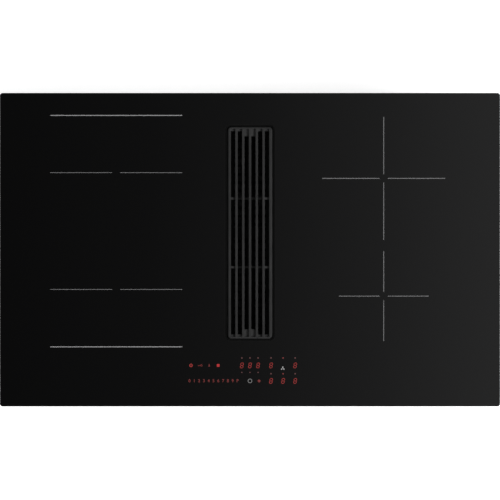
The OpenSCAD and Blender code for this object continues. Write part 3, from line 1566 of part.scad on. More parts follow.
module clamp_screws() color([0.7, 0.7, 0.72]) {
    for (p = clamp_places) translate([p[0], p[1], 0]) {
        translate([0, 0, z_clamp - seat_gap - clamp_head_t])
            cylinder(r = clamp_head_r, h = clamp_head_t, $fn = 6);
        translate([0, 0, z_clamp - seat_gap - 1])
            cylinder(r = clamp_screw_r, h = z_floor + clamp_nut_t + seat_gap + 2 - z_clamp);
        translate([0, 0, z_clamp + clamp_t + seat_gap])
            cylinder(r = clamp_nut_r, h = z_pan - z_clamp - clamp_t - seat_gap, $fn = 32);
        translate([0, 0, z_floor]) cylinder(r = clamp_nut_r, h = clamp_nut_t, $fn = 6);
    }
}

glass_plate();
zone_print();
worktop_seal();
glass_frame();
intake_collar();
collar_seal();
grille();
grille_feet();
filter_frame();
filter_mesh();
air_shaft();
inlet_hood();
drip_tray();
scroll_body();
scroll_cover();
impeller();
rotor_bell();
motor_stator();
motor_base();
motor_shaft();
motor_bearings();
outlet_spigot();
blower_control();
blower_screws();
case_pan();
case_screws();
fan_guards();
coil_carrier_left();
coil_carrier_right();
coil_former_left_rear();
coil_former_left_front();
coil_former_right_rear();
coil_former_right_front();
winding_left_rear();
winding_left_front();
winding_right_rear();
winding_right_front();
mica_sheets();
ferrite_bars();
coil_sensors();
carrier_posts();
power_board_left();
power_board_right();
heatsinks();
board_parts();
fan_frames();
fan_rotor_left();
fan_rotor_right();
control_board();
control_carrier();
touch_springs();
display_modules();
terminal_box();
terminal_cover();
cable_gland();
clamp_left_rear();
clamp_left_front();
clamp_right_rear();
clamp_right_front();
clamp_screws();
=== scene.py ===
"""Looks of the downdraft induction cooktop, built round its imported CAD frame.

All lengths below are in metres in the frame's own axes: X to the user's right, Y to the back, Z up.
"""

import json
import math

import bmesh
import bpy
from mathutils import Matrix, Vector


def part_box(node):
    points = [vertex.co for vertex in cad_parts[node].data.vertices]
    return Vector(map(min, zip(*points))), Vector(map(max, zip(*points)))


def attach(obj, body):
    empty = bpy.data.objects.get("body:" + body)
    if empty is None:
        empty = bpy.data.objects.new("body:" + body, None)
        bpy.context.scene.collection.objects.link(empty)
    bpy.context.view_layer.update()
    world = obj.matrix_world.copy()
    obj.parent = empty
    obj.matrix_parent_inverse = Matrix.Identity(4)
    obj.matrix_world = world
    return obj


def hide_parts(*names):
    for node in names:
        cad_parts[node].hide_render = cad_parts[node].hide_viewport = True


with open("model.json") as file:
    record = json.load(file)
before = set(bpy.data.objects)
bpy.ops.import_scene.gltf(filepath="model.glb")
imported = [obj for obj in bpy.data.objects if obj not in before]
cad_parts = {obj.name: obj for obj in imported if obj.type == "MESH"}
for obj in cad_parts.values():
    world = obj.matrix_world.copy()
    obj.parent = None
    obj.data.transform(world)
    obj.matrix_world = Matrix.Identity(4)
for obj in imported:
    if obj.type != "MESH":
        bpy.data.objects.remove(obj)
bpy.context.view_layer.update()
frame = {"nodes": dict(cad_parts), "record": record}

MM = 0.001
HOB = "hob"
GLASS_LOW, GLASS_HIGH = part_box("glass_plate")
Z_TOP = GLASS_HIGH.z
GLASS_T = GLASS_HIGH.z - GLASS_LOW.z
GRILLE_LOW, GRILLE_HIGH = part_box("grille")
GRILLE_MIDDLE = (GRILLE_LOW + GRILLE_HIGH) / 2
INTAKE_W = 83 * MM
INTAKE_L = 359 * MM
INTAKE_R = 10 * MM


# Material helpers

def new_material(name):
    """A material with its node tree and its Principled shader."""
    material = bpy.data.materials.new(name)
    material.use_nodes = True
    tree = material.node_tree
    return material, tree, tree.nodes["Principled BSDF"]


def add_node(tree, kind, **settings):
    """A node of the kind, with its sockets or properties set by name."""
    node = tree.nodes.new(kind)
    for name, value in settings.items():
        if name in node.inputs:
            node.inputs[name].default_value = value
        else:
            setattr(node, name, value)
    return node


def object_coords(tree, stretch=(1, 1, 1)):
    """Object coordinates in metres, scaled so that a pattern can be drawn out along an axis."""
    coords = add_node(tree, "ShaderNodeTexCoord")
    mapping = add_node(tree, "ShaderNodeMapping", Scale=stretch)
    tree.links.new(coords.outputs["Object"], mapping.inputs["Vector"])
    return mapping.outputs["Vector"]


def noise(tree, coords, grain, detail=4.0):
    """Noise whose lumps are about grain metres across."""
    node = add_node(tree, "ShaderNodeTexNoise", Scale=0.5 / grain, Detail=detail)
    tree.links.new(coords, node.inputs["Vector"])
    return node.outputs["Fac"]


def colour_between(tree, shader, value, dark, light, low=0.3, high=0.7):
    """Base colour that runs from dark to light as value goes from low to high."""
    ramp = add_node(tree, "ShaderNodeValToRGB")
    ramp.color_ramp.elements[0].position = low
    ramp.color_ramp.elements[0].color = (*dark, 1)
    ramp.color_ramp.elements[1].position = high
    ramp.color_ramp.elements[1].color = (*light, 1)
    tree.links.new(value, ramp.inputs["Fac"])
    tree.links.new(ramp.outputs["Color"], shader.inputs["Base Color"])


def roughness_between(tree, shader, value, low, high):
    """Roughness that runs from low to high with value."""
    spread = add_node(tree, "ShaderNodeMapRange")
    spread.inputs["To Min"].default_value = low
    spread.inputs["To Max"].default_value = high
    tree.links.new(value, spread.inputs["Value"])
    tree.links.new(spread.outputs["Result"], shader.inputs["Roughness"])


def bump(tree, shader, height, depth, strength=1.0):
    """Relief of about depth metres."""
    node = add_node(tree, "ShaderNodeBump", Strength=strength, Distance=depth)
    tree.links.new(height, node.inputs["Height"])
    tree.links.new(node.outputs["Normal"], shader.inputs["Normal"])


# Materials

def black_glass():
    """Polished black glass ceramic, with a faint unevenness in its shine."""
    material, tree, shader = new_material("black_glass")
    film = noise(tree, object_coords(tree), 60 * MM, 6.0)
    shader.inputs["Base Color"].default_value = (0.0015, 0.0015, 0.0016, 1)
    shader.inputs["IOR"].default_value = 1.5
    roughness_between(tree, shader, film, 0.02, 0.06)
    return material


def fired_print(name, dark, light):
    """Grey enamel fired on the glass."""
    material, tree, shader = new_material(name)
    grains = noise(tree, object_coords(tree), 0.4 * MM)
    colour_between(tree, shader, grains, dark, light)
    roughness_between(tree, shader, grains, 0.35, 0.5)
    bump(tree, shader, grains, 0.005 * MM)
    return material


def cast_iron():
    """Black enamelled casting with a sandy surface."""
    material, tree, shader = new_material("cast_black")
    coords = object_coords(tree)
    sand = noise(tree, coords, 0.9 * MM, 6.0)
    patches = noise(tree, coords, 14 * MM)
    colour_between(tree, shader, patches, (0.026, 0.026, 0.0262), (0.033, 0.033, 0.0332))
    roughness_between(tree, shader, sand, 0.42, 0.62)
    bump(tree, shader, sand, 0.12 * MM, 0.8)
    shader.inputs["Specular IOR Level"].default_value = 0.07
    return material


def moulded(name, dark, light, low=0.42, high=0.56, specular=0.5):
    """Injection-moulded plastic with an eroded grain and a slow change of tone."""
    material, tree, shader = new_material(name)
    coords = object_coords(tree)
    grains = noise(tree, coords, 0.5 * MM, 3.0)
    flow = noise(tree, coords, 45 * MM, 2.0)
    colour_between(tree, shader, flow, dark, light)
    roughness_between(tree, shader, grains, low, high)
    bump(tree, shader, grains, 0.04 * MM, 0.7)
    shader.inputs["Specular IOR Level"].default_value = specular
    return material


def foam():
    """Closed-cell sealing foam."""
    material, tree, shader = new_material("foam_seal")
    cells = add_node(tree, "ShaderNodeTexVoronoi", Scale=0.7 / MM)
    tree.links.new(object_coords(tree), cells.inputs["Vector"])
    depth = cells.outputs["Distance"]
    # Painted shade: each cell's hollow is darker than its walls, in step with the bump.
    colour_between(tree, shader, depth, (0.012, 0.012, 0.012), (0.03, 0.03, 0.03), 0.1, 0.6)
    shader.inputs["Roughness"].default_value = 0.9
    bump(tree, shader, depth, 0.2 * MM)
    return material


def galvanised():
    """Zinc-coated sheet: a small spangle of crystals, faint rolling lines and a film of handling."""
    material, tree, shader = new_material("galvanised")
    coords = object_coords(tree)
    crystals = add_node(tree, "ShaderNodeTexVoronoi", Scale=0.22 / MM, Randomness=1.0)
    tree.links.new(coords, crystals.inputs["Vector"])
    tone = add_node(tree, "ShaderNodeSeparateColor")
    tree.links.new(crystals.outputs["Color"], tone.inputs["Color"])
    film = noise(tree, coords, 70 * MM, 5.0)
    blend = add_node(tree, "ShaderNodeMix", data_type="FLOAT")
    blend.inputs["Factor"].default_value = 0.45
    tree.links.new(tone.outputs["Red"], blend.inputs["A"])
    tree.links.new(film, blend.inputs["B"])
    spangle = blend.outputs["Result"]
    colour_between(tree, shader, spangle, (0.47, 0.48, 0.495), (0.6, 0.61, 0.625), 0.1, 0.9)
    roughness_between(tree, shader, spangle, 0.34, 0.5)
    shader.inputs["Metallic"].default_value = 1.0
    rolled = noise(tree, object_coords(tree, (0.04, 1, 1)), 0.7 * MM, 3.0)
    bump(tree, shader, rolled, 0.01 * MM, 0.5)
    return material


def brushed(name, dark, light, stretch=(1, 0.03, 1)):
    """Brushed or drawn metal, with its lines along one axis."""
    material, tree, shader = new_material(name)
    lines = noise(tree, object_coords(tree, stretch), 0.4 * MM, 5.0)
    colour_between(tree, shader, lines, dark, light)
    roughness_between(tree, shader, lines, 0.25, 0.42)
    shader.inputs["Metallic"].default_value = 1.0
    bump(tree, shader, lines, 0.01 * MM, 0.5)
    return material


def litz():
    """Enamelled copper strands laid side by side."""
    material, tree, shader = new_material("copper")
    strands = noise(tree, object_coords(tree), 0.35 * MM, 3.0)
    colour_between(tree, shader, strands, (0.32, 0.12, 0.045), (0.62, 0.3, 0.14))
    roughness_between(tree, shader, strands, 0.3, 0.5)
    shader.inputs["Metallic"].default_value = 0.85
    bump(tree, shader, strands, 0.15 * MM)
    return material


def speckled(name, dark, light, roughness):
    """A matt mineral or board surface."""
    material, tree, shader = new_material(name)
    grains = noise(tree, object_coords(tree), 1.5 * MM, 8.0)
    colour_between(tree, shader, grains, dark, light)
    shader.inputs["Roughness"].default_value = roughness
    bump(tree, shader, grains, 0.05 * MM)
    return material


def circuit_board():
    """Green solder resist over a net of copper tracks."""
    material, tree, shader = new_material("circuit_green")
    coords = object_coords(tree)
    tracks = add_node(tree, "ShaderNodeTexBrick", Scale=0.12 / MM)
    tracks.inputs["Color1"].default_value = (0.012, 0.12, 0.05, 1)
    tracks.inputs["Color2"].default_value = (0.016, 0.15, 0.065, 1)
    tracks.inputs["Mortar"].default_value = (0.03, 0.26, 0.12, 1)
    tracks.inputs["Mortar Size"].default_value = 0.06
    tree.links.new(coords, tracks.inputs["Vector"])
    tree.links.new(tracks.outputs["Color"], shader.inputs["Base Color"])
    roughness_between(tree, shader, noise(tree, coords, 6 * MM), 0.3, 0.45)
    bump(tree, shader, tracks.outputs["Fac"], 0.03 * MM)
    return material


def lit(name, colour, strength):
    """A mark that shines through the glass, a little uneven like a real light guide."""
    material, tree, shader = new_material(name)
    unevenness = noise(tree, object_coords(tree), 1.5 * MM)
    colour_between(tree, shader, unevenness, (0.02, 0.02, 0.02), (0.026, 0.026, 0.026))
    shader.inputs["Roughness"].default_value = 0.3
    shader.inputs["Emission Color"].default_value = (*colour, 1)
    shader.inputs["Emission Strength"].default_value = strength
    return material


# Materials by slot
MATERIALS = {
    "black_glass": black_glass(),
    "print_grey": fired_print("print_grey", (0.27, 0.27, 0.275), (0.33, 0.33, 0.335)),
    "cast_black": cast_iron(),
    # The collar's near-black tone is partly its black plastic and partly painted shade for the gap round the
    # grille.
    "collar_black": moulded("collar_black", (0.003, 0.003, 0.003), (0.004, 0.004, 0.004),
                            0.5, 0.65, specular=0.06),
    "foam_seal": foam(),
    "silicone": moulded("silicone", (0.02, 0.02, 0.02), (0.03, 0.03, 0.03), 0.6, 0.75),
    "galvanised": galvanised(),
    # The filter's near-black tone is partly its black coat and partly painted shade, so that the deep slots
    # over it read black.
    "filter_steel": moulded("filter_steel", (0.002, 0.002, 0.002), (0.003, 0.003, 0.003),
                            0.6, 0.75, specular=0.08),
    "duct_plastic": moulded("duct_plastic", (0.018, 0.018, 0.0195), (0.026, 0.026, 0.028)),
    "tray_plastic": moulded("tray_plastic", (0.035, 0.035, 0.038), (0.045, 0.045, 0.048)),
    "fan_black": moulded("fan_black", (0.012, 0.012, 0.0125), (0.018, 0.018, 0.0185), 0.35, 0.5),
    "motor_steel": brushed("motor_steel", (0.42, 0.42, 0.44), (0.56, 0.56, 0.58), (1, 1, 0.05)),
    "copper": litz(),
    "screw_steel": brushed("screw_steel", (0.5, 0.5, 0.52), (0.66, 0.66, 0.68), (1, 1, 1)),
    "carrier_aluminium": brushed("carrier_aluminium", (0.62, 0.63, 0.65), (0.74, 0.75, 0.77)),
    "mica": speckled("mica", (0.5, 0.43, 0.3), (0.68, 0.62, 0.48), 0.55),
    "former_board": speckled("former_board", (0.66, 0.64, 0.57), (0.78, 0.76, 0.7), 0.75),
    "ferrite": speckled("ferrite", (0.035, 0.035, 0.04), (0.06, 0.06, 0.065), 0.6),
    "sensor_white": speckled("sensor_white", (0.72, 0.71, 0.66), (0.82, 0.81, 0.77), 0.6),
    "circuit_green": circuit_board(),
    "parts_dark": moulded("parts_dark", (0.02, 0.02, 0.024), (0.035, 0.035, 0.04)),
    "light_plastic": moulded("light_plastic", (0.66, 0.66, 0.64), (0.74, 0.74, 0.72)),
    "display_red": moulded("display_red", (0.1, 0.005, 0.005), (0.16, 0.01, 0.01), 0.15, 0.25),
}

for subpart in frame["record"]["subparts"]:
    cad_object = frame["nodes"][subpart["node"]]
    cad_object.data.materials.clear()
    cad_object.data.materials.append(MATERIALS[subpart["material_slot"]])


# Mesh helpers

def add_piece(name, bm, material, body=HOB, replaces=(), smooth_deg=None):
    """Turns a bmesh into a piece that rides on a body, with its material."""
    bmesh.ops.recalc_face_normals(bm, faces=bm.faces)
    mesh = bpy.data.meshes.new(name)
    bm.to_mesh(mesh)
    bm.free()
    piece = bpy.data.objects.new(name, mesh)
    bpy.context.scene.collection.objects.link(piece)
    mesh.materials.append(material)
    if smooth_deg is not None:
        mesh.shade_smooth()
        mesh.set_sharp_from_angle(angle=math.radians(smooth_deg))
    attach(piece, body)
    if replaces:
        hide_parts(*replaces)


def round_loop(width, depth, radius, steps=8):
    """Points of a rectangle with round corners, counter-clockwise from the +X side."""
    points = []
    for quarter, (sx, sy) in enumerate([(1, 1), (-1, 1), (-1, -1), (1, -1)]):
        for step in range(steps + 1):
            a = math.pi / 2 * (quarter + step / steps)
            points.append(Vector((sx * (width / 2 - radius) + radius * math.cos(a),
                                  sy * (depth / 2 - radius) + radius * math.sin(a), 0)))
    return points


def add_loop(bm, points, offset):
    """The points as vertices, moved by offset."""
    return [bm.verts.new(p + offset) for p in points]


def bridge(bm, first, second):
    """Quads between two closed loops with as many points."""
    count = len(first)
    for i in range(count):
        j = (i + 1) % count
        bm.faces.new((first[i], first[j], second[j], second[i]))


def ring_of_loops(bm, profile, loop_at, centre):
    """A closed ring. Each profile entry is (inset, height); loop_at gives the outline for an inset."""
    loops = [add_loop(bm, loop_at(inset), centre + Vector((0, 0, height))) for inset, height in profile]
    for first, second in zip(loops, loops[1:] + loops[:1]):
        bridge(bm, first, second)


def arc(centre, radius, start_deg, end_deg, steps):
    """Points along an arc."""
    turns = [math.radians(start_deg + (end_deg - start_deg) * i / steps) for i in range(steps + 1)]
    return [(centre[0] + radius * math.cos(a), centre[1] + radius * math.sin(a)) for a in turns]


def united(name, parts):
    """One closed bmesh from several closed ones."""
    objects = []
    for index, part in enumerate(parts):
        bmesh.ops.recalc_face_normals(part, faces=part.faces)
        mesh = bpy.data.meshes.new(f"{name}_{index}")
        part.to_mesh(mesh)
        part.free()
        thing = bpy.data.objects.new(mesh.name, mesh)
        bpy.context.scene.collection.objects.link(thing)
        objects.append(thing)
    base = objects[0]
    for other in objects[1:]:
        join = base.modifiers.new("join", "BOOLEAN")
        join.operation = "UNION"
        join.solver = "MANIFOLD"
        join.object = other
    bm = bmesh.new()
    bm.from_object(base, bpy.context.evaluated_depsgraph_get())
    for thing in objects:
        mesh = thing.data
        bpy.data.objects.remove(thing)
        bpy.data.meshes.remove(mesh)
    return bm


# Glass plate

GLASS_CORNER = 5 * MM
GLASS_BEVEL = 0.35 * MM
GLASS_ARRIS = 0.3 * MM
HOLE_BEVEL = 0.15 * MM
# Width of the narrow faces that round each edge for the light
EDGE_SOFTNESS = 0.04 * MM


def glass_plate():
    """The plate with its ground and polished edges, and the opening for the intake."""
    width = GLASS_HIGH.x - GLASS_LOW.x
    depth = GLASS_HIGH.y - GLASS_LOW.y
    base = Vector(((GLASS_LOW.x + GLASS_HIGH.x) / 2, (GLASS_LOW.y + GLASS_HIGH.y) / 2, GLASS_LOW.z))
    hole = Vector((GRILLE_MIDDLE.x, GRILLE_MIDDLE.y, GLASS_LOW.z))
    bm = bmesh.new()

    def outer(inset, height):
        points = round_loop(width - 2 * inset, depth - 2 * inset, GLASS_CORNER - inset)
        return add_loop(bm, points, base + Vector((0, 0, height)))

    def inner(outset, height):
        points = round_loop(INTAKE_W + 2 * outset, INTAKE_L + 2 * outset, INTAKE_R + outset)
        return add_loop(bm, points, hole + Vector((0, 0, height)))

    soft = EDGE_SOFTNESS
    loops = [outer(GLASS_ARRIS, 0), outer(0, GLASS_ARRIS), outer(0, GLASS_T - GLASS_BEVEL - soft),
             outer(soft, GLASS_T - GLASS_BEVEL + soft), outer(GLASS_BEVEL - soft, GLASS_T - soft),
             outer(GLASS_BEVEL + soft, GLASS_T), inner(HOLE_BEVEL + soft, GLASS_T),
             inner(HOLE_BEVEL - soft, GLASS_T - soft), inner(soft, GLASS_T - HOLE_BEVEL + soft),
             inner(0, GLASS_T - HOLE_BEVEL - soft), inner(0, GLASS_ARRIS), inner(GLASS_ARRIS, 0)]
    for first, second in zip(loops, loops[1:] + loops[:1]):
        bridge(bm, first, second)
    add_piece("glass", bm, MATERIALS["black_glass"], replaces=["glass_plate"], smooth_deg=15)


# Lip of the collar

LIP_GAP = 0.35 * MM
LIP_DROP = 0.55 * MM
LIP_REACH = 3.0 * MM
LIP_DEPTH = 3 * MM
LIP_CHAMFER = 0.15 * MM
LIP_ROUND = 0.5 * MM


def collar_lip():
    """The collar's upper edge round the opening, rounded toward the grille."""
    profile = [(LIP_GAP, -LIP_DEPTH), (LIP_GAP, -LIP_DROP - LIP_CHAMFER), (LIP_GAP + LIP_CHAMFER, -LIP_DROP)]
    profile += arc((LIP_REACH - LIP_ROUND, -LIP_DROP - LIP_ROUND), LIP_ROUND, 90, 0, 5)
    profile.append((LIP_REACH, -LIP_DEPTH))

    def outline(inset):
        return round_loop(INTAKE_W - 2 * inset, INTAKE_L - 2 * inset, INTAKE_R - inset, 10)

    bm = bmesh.new()
    ring_of_loops(bm, profile, outline, Vector((GRILLE_MIDDLE.x, GRILLE_MIDDLE.y, Z_TOP)))
    add_piece("collar_lip", bm, MATERIALS["collar_black"], smooth_deg=20)


# Zone prints

PRINT_T = 0.1 * MM
PRINT_WALL = 0.06 * MM
PRINT_SLOPE = 0.1 * MM
PRINT_CORNER = 0.2 * MM
FLEX_LEFT, FLEX_RIGHT = -331.2 * MM, -112.3 * MM
FLEX_LINES_Y = (222.7 * MM, -161.1 * MM)
FLEX_LINE_W = 1.4 * MM
DASHES_Y = (127.8 * MM, -65.9 * MM)
DASH_GAP = (-228.6 * MM, -215.2 * MM)
DASH_W = 0.88 * MM
CROSS_X = 221.8 * MM
CROSS_GAP = 6.8 * MM
# Each cross as its middle's Y, its radius and its stroke
CROSSES = ((118.3 * MM, 102.1 * MM, 1.16 * MM), (-77.0 * MM, 74.6 * MM, 1.08 * MM))
THIN_PRINT = fired_print("print_thin", (0.155, 0.155, 0.158), (0.187, 0.187, 0.19))


def add_stroke(bm, x0, x1, y0, y1):
    """A printed stroke on the glass that thins toward its edge."""
    centre = Vector(((x0 + x1) / 2, (y0 + y1) / 2, Z_TOP))
    loops = []
    for inset, height in ((0, 0), (0, PRINT_WALL), (PRINT_SLOPE, PRINT_T)):
        points = round_loop(x1 - x0 - 2 * inset, y1 - y0 - 2 * inset, PRINT_CORNER - inset, 3)
        loops.append(add_loop(bm, points, centre + Vector((0, 0, height))))
    for first, second in zip(loops, loops[1:]):
        bridge(bm, first, second)
    bm.faces.new(loops[0][::-1])
    bm.faces.new(loops[-1])


def zone_prints():
    """The cooking zones: two full lines, and in a thinner coat four dashes and two crosses."""
    lines, marks = bmesh.new(), bmesh.new()
    for y in FLEX_LINES_Y:
        add_stroke(lines, FLEX_LEFT, FLEX_RIGHT, y - FLEX_LINE_W / 2, y + FLEX_LINE_W / 2)
    for y in DASHES_Y:
        for x0, x1 in ((FLEX_LEFT, DASH_GAP[0]), (DASH_GAP[1], FLEX_RIGHT)):
            add_stroke(marks, x0, x1, y - DASH_W / 2, y + DASH_W / 2)
    for y, radius, width in CROSSES:
        for start, end in ((-radius, -CROSS_GAP), (CROSS_GAP, radius)):
            add_stroke(marks, CROSS_X + start, CROSS_X + end, y - width / 2, y + width / 2)
            add_stroke(marks, CROSS_X - width / 2, CROSS_X + width / 2, y + start, y + end)
    add_piece("zone_lines", lines, MATERIALS["print_grey"], replaces=["zone_print"])
    add_piece("zone_marks", marks, THIN_PRINT, replaces=["zone_print"])


# Cast grille

SLOTS = 6
CASTING_W = 74.6 * MM
CASTING_L = GRILLE_HIGH.y - GRILLE_LOW.y
CASTING_H = GRILLE_HIGH.z - GRILLE_LOW.z
CASTING_BASE = Vector((GRILLE_MIDDLE.x, GRILLE_MIDDLE.y, GRILLE_LOW.z))
CASTING_CORNER = 6.5 * MM
LEAST_CORNER = 1 * MM
RIM_W = 3.5 * MM
RIM_ROLL = 3.3 * MM
RIM_ROLL_DROP = 5 * MM
RIM_CHAMFER = 0.5 * MM
RIM_SOFTNESS = 0.15 * MM
BAR_W = 4.2 * MM
BAR_LIFT = 2 * MM
BAR_DRAFT = 0.6 * MM
BAR_SOFTNESS = 0.8 * MM
SIDE_BAR_W = 5.7 * MM
SIDE_BAR_LIFT = 0.3 * MM
SLOT_W = (CASTING_W - 2 * SIDE_BAR_W - (SLOTS - 1) * BAR_W) / SLOTS
BAR_PITCH = SLOT_W + BAR_W
WEB_REACH = 3.8 * MM
GRIP_REACH = 8.5 * MM
RIB_SPAN = 114 * MM
RIB_W = 3.5 * MM
# Webs and ribs across a slot: height, drop below the bars' tops, and depth of the hollow
WEB = (5.5 * MM, 2.3 * MM, 1.8 * MM)
OUTER_RIB = (9 * MM, 2.4 * MM, 1.6 * MM)
INNER_RIB = (4 * MM, 9.5 * MM, 1.2 * MM)
# How far the casting's parts run into each other before they are united
OVERLAP = 0.6 * MM
EX, EY, EZ = Vector((1, 0, 0)), Vector((0, 1, 0)), Vector((0, 0, 1))


def casting_prism(section, x, y0, y1):
    """A closed prism from y0 to y1. Its section is in X from x and in Z from the casting's underside."""
    bm = bmesh.new()
    low = [bm.verts.new(CASTING_BASE + EX * (x + px) + EY * y0 + EZ * pz) for px, pz in section]
    high = [bm.verts.new(CASTING_BASE + EX * (x + px) + EY * y1 + EZ * pz) for px, pz in section]
    bridge(bm, low, high)
    bm.faces.new(low[::-1])
    bm.faces.new(high)
    return bm


def casting_rim():
    """The rim, with its rolled outer edge."""
    profile = [(RIM_CHAMFER, 0), (0, RIM_CHAMFER)]
    profile += [(RIM_ROLL + RIM_ROLL * x, CASTING_H - RIM_ROLL_DROP + RIM_ROLL_DROP * y)
                for x, y in arc((0, 0), 1, 180, 90, 9)]
    profile += arc((RIM_W - RIM_SOFTNESS, CASTING_H - RIM_SOFTNESS), RIM_SOFTNESS, 90, 0, 4)
    profile += [(RIM_W, RIM_CHAMFER), (RIM_W - RIM_CHAMFER, 0)]

    def outline(inset):
        radius = max(CASTING_CORNER - inset, LEAST_CORNER)
        return round_loop(CASTING_W - 2 * inset, CASTING_L - 2 * inset, radius, 10)

    bm = bmesh.new()
    ring_of_loops(bm, profile, outline, CASTING_BASE)
    return bm


def casting_bar(x):
    """An inner bar, with soft upper edges and drafted sides."""
    half = BAR_W / 2
    section = [(-half + BAR_DRAFT, BAR_LIFT), (half - BAR_DRAFT, BAR_LIFT)]
    section += arc((half - BAR_SOFTNESS, CASTING_H - BAR_SOFTNESS), BAR_SOFTNESS, 0, 90, 5)
    section += arc((-half + BAR_SOFTNESS, CASTING_H - BAR_SOFTNESS), BAR_SOFTNESS, 90, 180, 5)
    half_run = CASTING_L / 2 - RIM_W + OVERLAP
    return casting_prism(section, x, -half_run, half_run)


def casting_side_bar(side):
    """The part of an outermost bar inside the rim, with its inner upper edge soft."""
    width = SIDE_BAR_W - RIM_W + OVERLAP
    half = width / 2
    section = [(-side * half, SIDE_BAR_LIFT), (side * half, SIDE_BAR_LIFT), (side * half, CASTING_H)]
    section += [(side * (-half + BAR_SOFTNESS - x), CASTING_H - BAR_SOFTNESS + z)
                for x, z in arc((0, 0), BAR_SOFTNESS, 90, 0, 5)]
    half_run = CASTING_L / 2 - RIM_W + OVERLAP
    return casting_prism(section, side * (CASTING_W / 2 - SIDE_BAR_W + half), -half_run, half_run)


def hollowed(height, drop, hollow):
    """Section of a web or rib across a slot, hollowed for a fingertip."""
    half = SLOT_W / 2 + OVERLAP
    top = CASTING_H - drop
    radius = (half * half + hollow * hollow) / (2 * hollow)
    span = math.degrees(math.asin(half / radius))
    curve = arc((0, top - hollow + radius), radius, 270 + span, 270 - span, 8)
    return [(-half, top - height), (half, top - height)] + curve


def casting_web(x, end, grip):
    """A web at a slot's end. The two middle slots have deeper ones, to grip the grille by."""
    start = CASTING_L / 2 - RIM_W + OVERLAP
    reach = WEB_REACH + (GRIP_REACH if grip else 0) + OVERLAP
    return casting_prism(hollowed(*WEB), x, end * start, end * (start - reach))


def casting_rib(x, end, outermost):
    """A cross rib in a slot, high in the outermost slots and deep in the others."""
    section = hollowed(*(OUTER_RIB if outermost else INNER_RIB))
    middle = end * RIB_SPAN / 2
    return casting_prism(section, x, middle - RIB_W / 2, middle + RIB_W / 2)


def grille():
    """The casting: a rim with a rolled edge, bars with soft edges, hollowed webs and cross ribs."""
    parts = [casting_rim()]
    parts += [casting_bar((index + 1 - SLOTS / 2) * BAR_PITCH) for index in range(SLOTS - 1)]
    parts += [casting_side_bar(side) for side in (-1, 1)]
    for index in range(SLOTS):
        from_middle = index - (SLOTS - 1) / 2
        for end in (-1, 1):
            parts.append(casting_web(from_middle * BAR_PITCH, end, abs(from_middle) < 1))
            parts.append(casting_rib(from_middle * BAR_PITCH, end, index in (0, SLOTS - 1)))
    bm = united("grille_part", parts)
    add_piece("cast_grille", bm, MATERIALS["cast_black"], body="grille",
              replaces=["grille"], smooth_deg=35)


# Lit marks of the touch field

KEY_ROW_Y = -191.9 * MM
SLIDER_ROW_Y = -217.6 * MM
UPPER_DOTS_Y = -179.5 * MM
MIDDLE_DOTS_Y = -203.5 * MM
LOWER_DOTS_Y = -205.7 * MM
DIGIT_PITCH = 13.43 * MM
ZONE_X = 34.9 * MM
ZONE_PITCH = 20.02 * MM
TIMER_XS = [index * DIGIT_PITCH for index in (-1, 0, 1)]
ZONE_XS = [ZONE_X + index * ZONE_PITCH for index in (0, 1, 2)]
KEY_X = -97.8 * MM
KEY_PITCH = 15.03 * MM
SLIDER_X = -100.3 * MM
SLIDER_PITCH = 7.96 * MM
SLIDER_SIZE = 7.0 * MM
MARK_T = 0.03 * MM
DOT_R = 1.25 * MM
SMALL_DOT_R = 0.8 * DOT_R
DIGIT_W = 5.4 * MM
DIGIT_H = 9.2 * MM
DIGIT_STROKE = 1.1 * MM
DIGIT_GAP = 0.25 * MM
DIGIT_SLANT = 0.16
FAN_X = ZONE_XS[1] - 0.5 * MM
FAN_Y = -196.9 * MM
TIMER_KEY_X = 15.1 * MM
NUMERAL_BOLDNESS = 0.02
# A whole ring stops one degree short, so that its outline doesn't cross itself
WHOLE_RING = 359

LIT_RED = lit("lit_red", (1.0, 0.035, 0.03), 0.27)
LIT_BRIGHT = lit("lit_bright_red", (1.0, 0.02, 0.025), 0.4)
LIT_DIM = lit("lit_dim_red", (1.0, 0.06, 0.05), 0.15)
LIT_DOT = lit("lit_dot", (1.0, 0.28, 0.28), 0.09)
LIT_DOT_RED = lit("lit_dot_red", (1.0, 0.08, 0.08), 0.17)
LIT_WHITE = lit("lit_white", (1.0, 1.0, 1.0), 0.18)
LIT_FAN = lit("lit_fan", (1.0, 1.0, 1.0), 0.4)


def add_mark(name, bm, material):
    """A lit piece of the touch field."""
    add_piece(name, bm, material)


def add_plate(bm, outline):
    """A thin plate just above the glass with the given outline."""
    low = [bm.verts.new((x, y, Z_TOP + 0.5 * MARK_T)) for x, y in outline]
    high = [bm.verts.new((x, y, Z_TOP + 1.5 * MARK_T)) for x, y in outline]
    bridge(bm, low, high)
    bm.faces.new(low[::-1])
    bm.faces.new(high)


def add_disc(bm, x, y, radius, sides=20):
    """A round dot."""
    turns = [2 * math.pi * i / sides for i in range(sides)]
    add_plate(bm, [(x + radius * math.cos(a), y + radius * math.sin(a)) for a in turns])


def add_arc_band(bm, x, y, radius, stroke, start_deg, end_deg, steps=20):
    """A piece of a ring."""
    outer = arc((x, y), radius, start_deg, end_deg, steps)
    inner = arc((x, y), radius - stroke, end_deg, start_deg, steps)
    add_plate(bm, outer + inner)


def add_bar(bm, x0, y0, x1, y1, stroke):
    """A straight stroke between two points, longer by half its width at each end."""
    along = Vector((x1 - x0, y1 - y0)).normalized() * stroke / 2
    across = Vector((-along.y, along.x))
    corners = [Vector((x0, y0)) - along - across, Vector((x1, y1)) + along - across,
               Vector((x1, y1)) + along + across, Vector((x0, y0)) - along + across]
    add_plate(bm, [tuple(c) for c in corners])


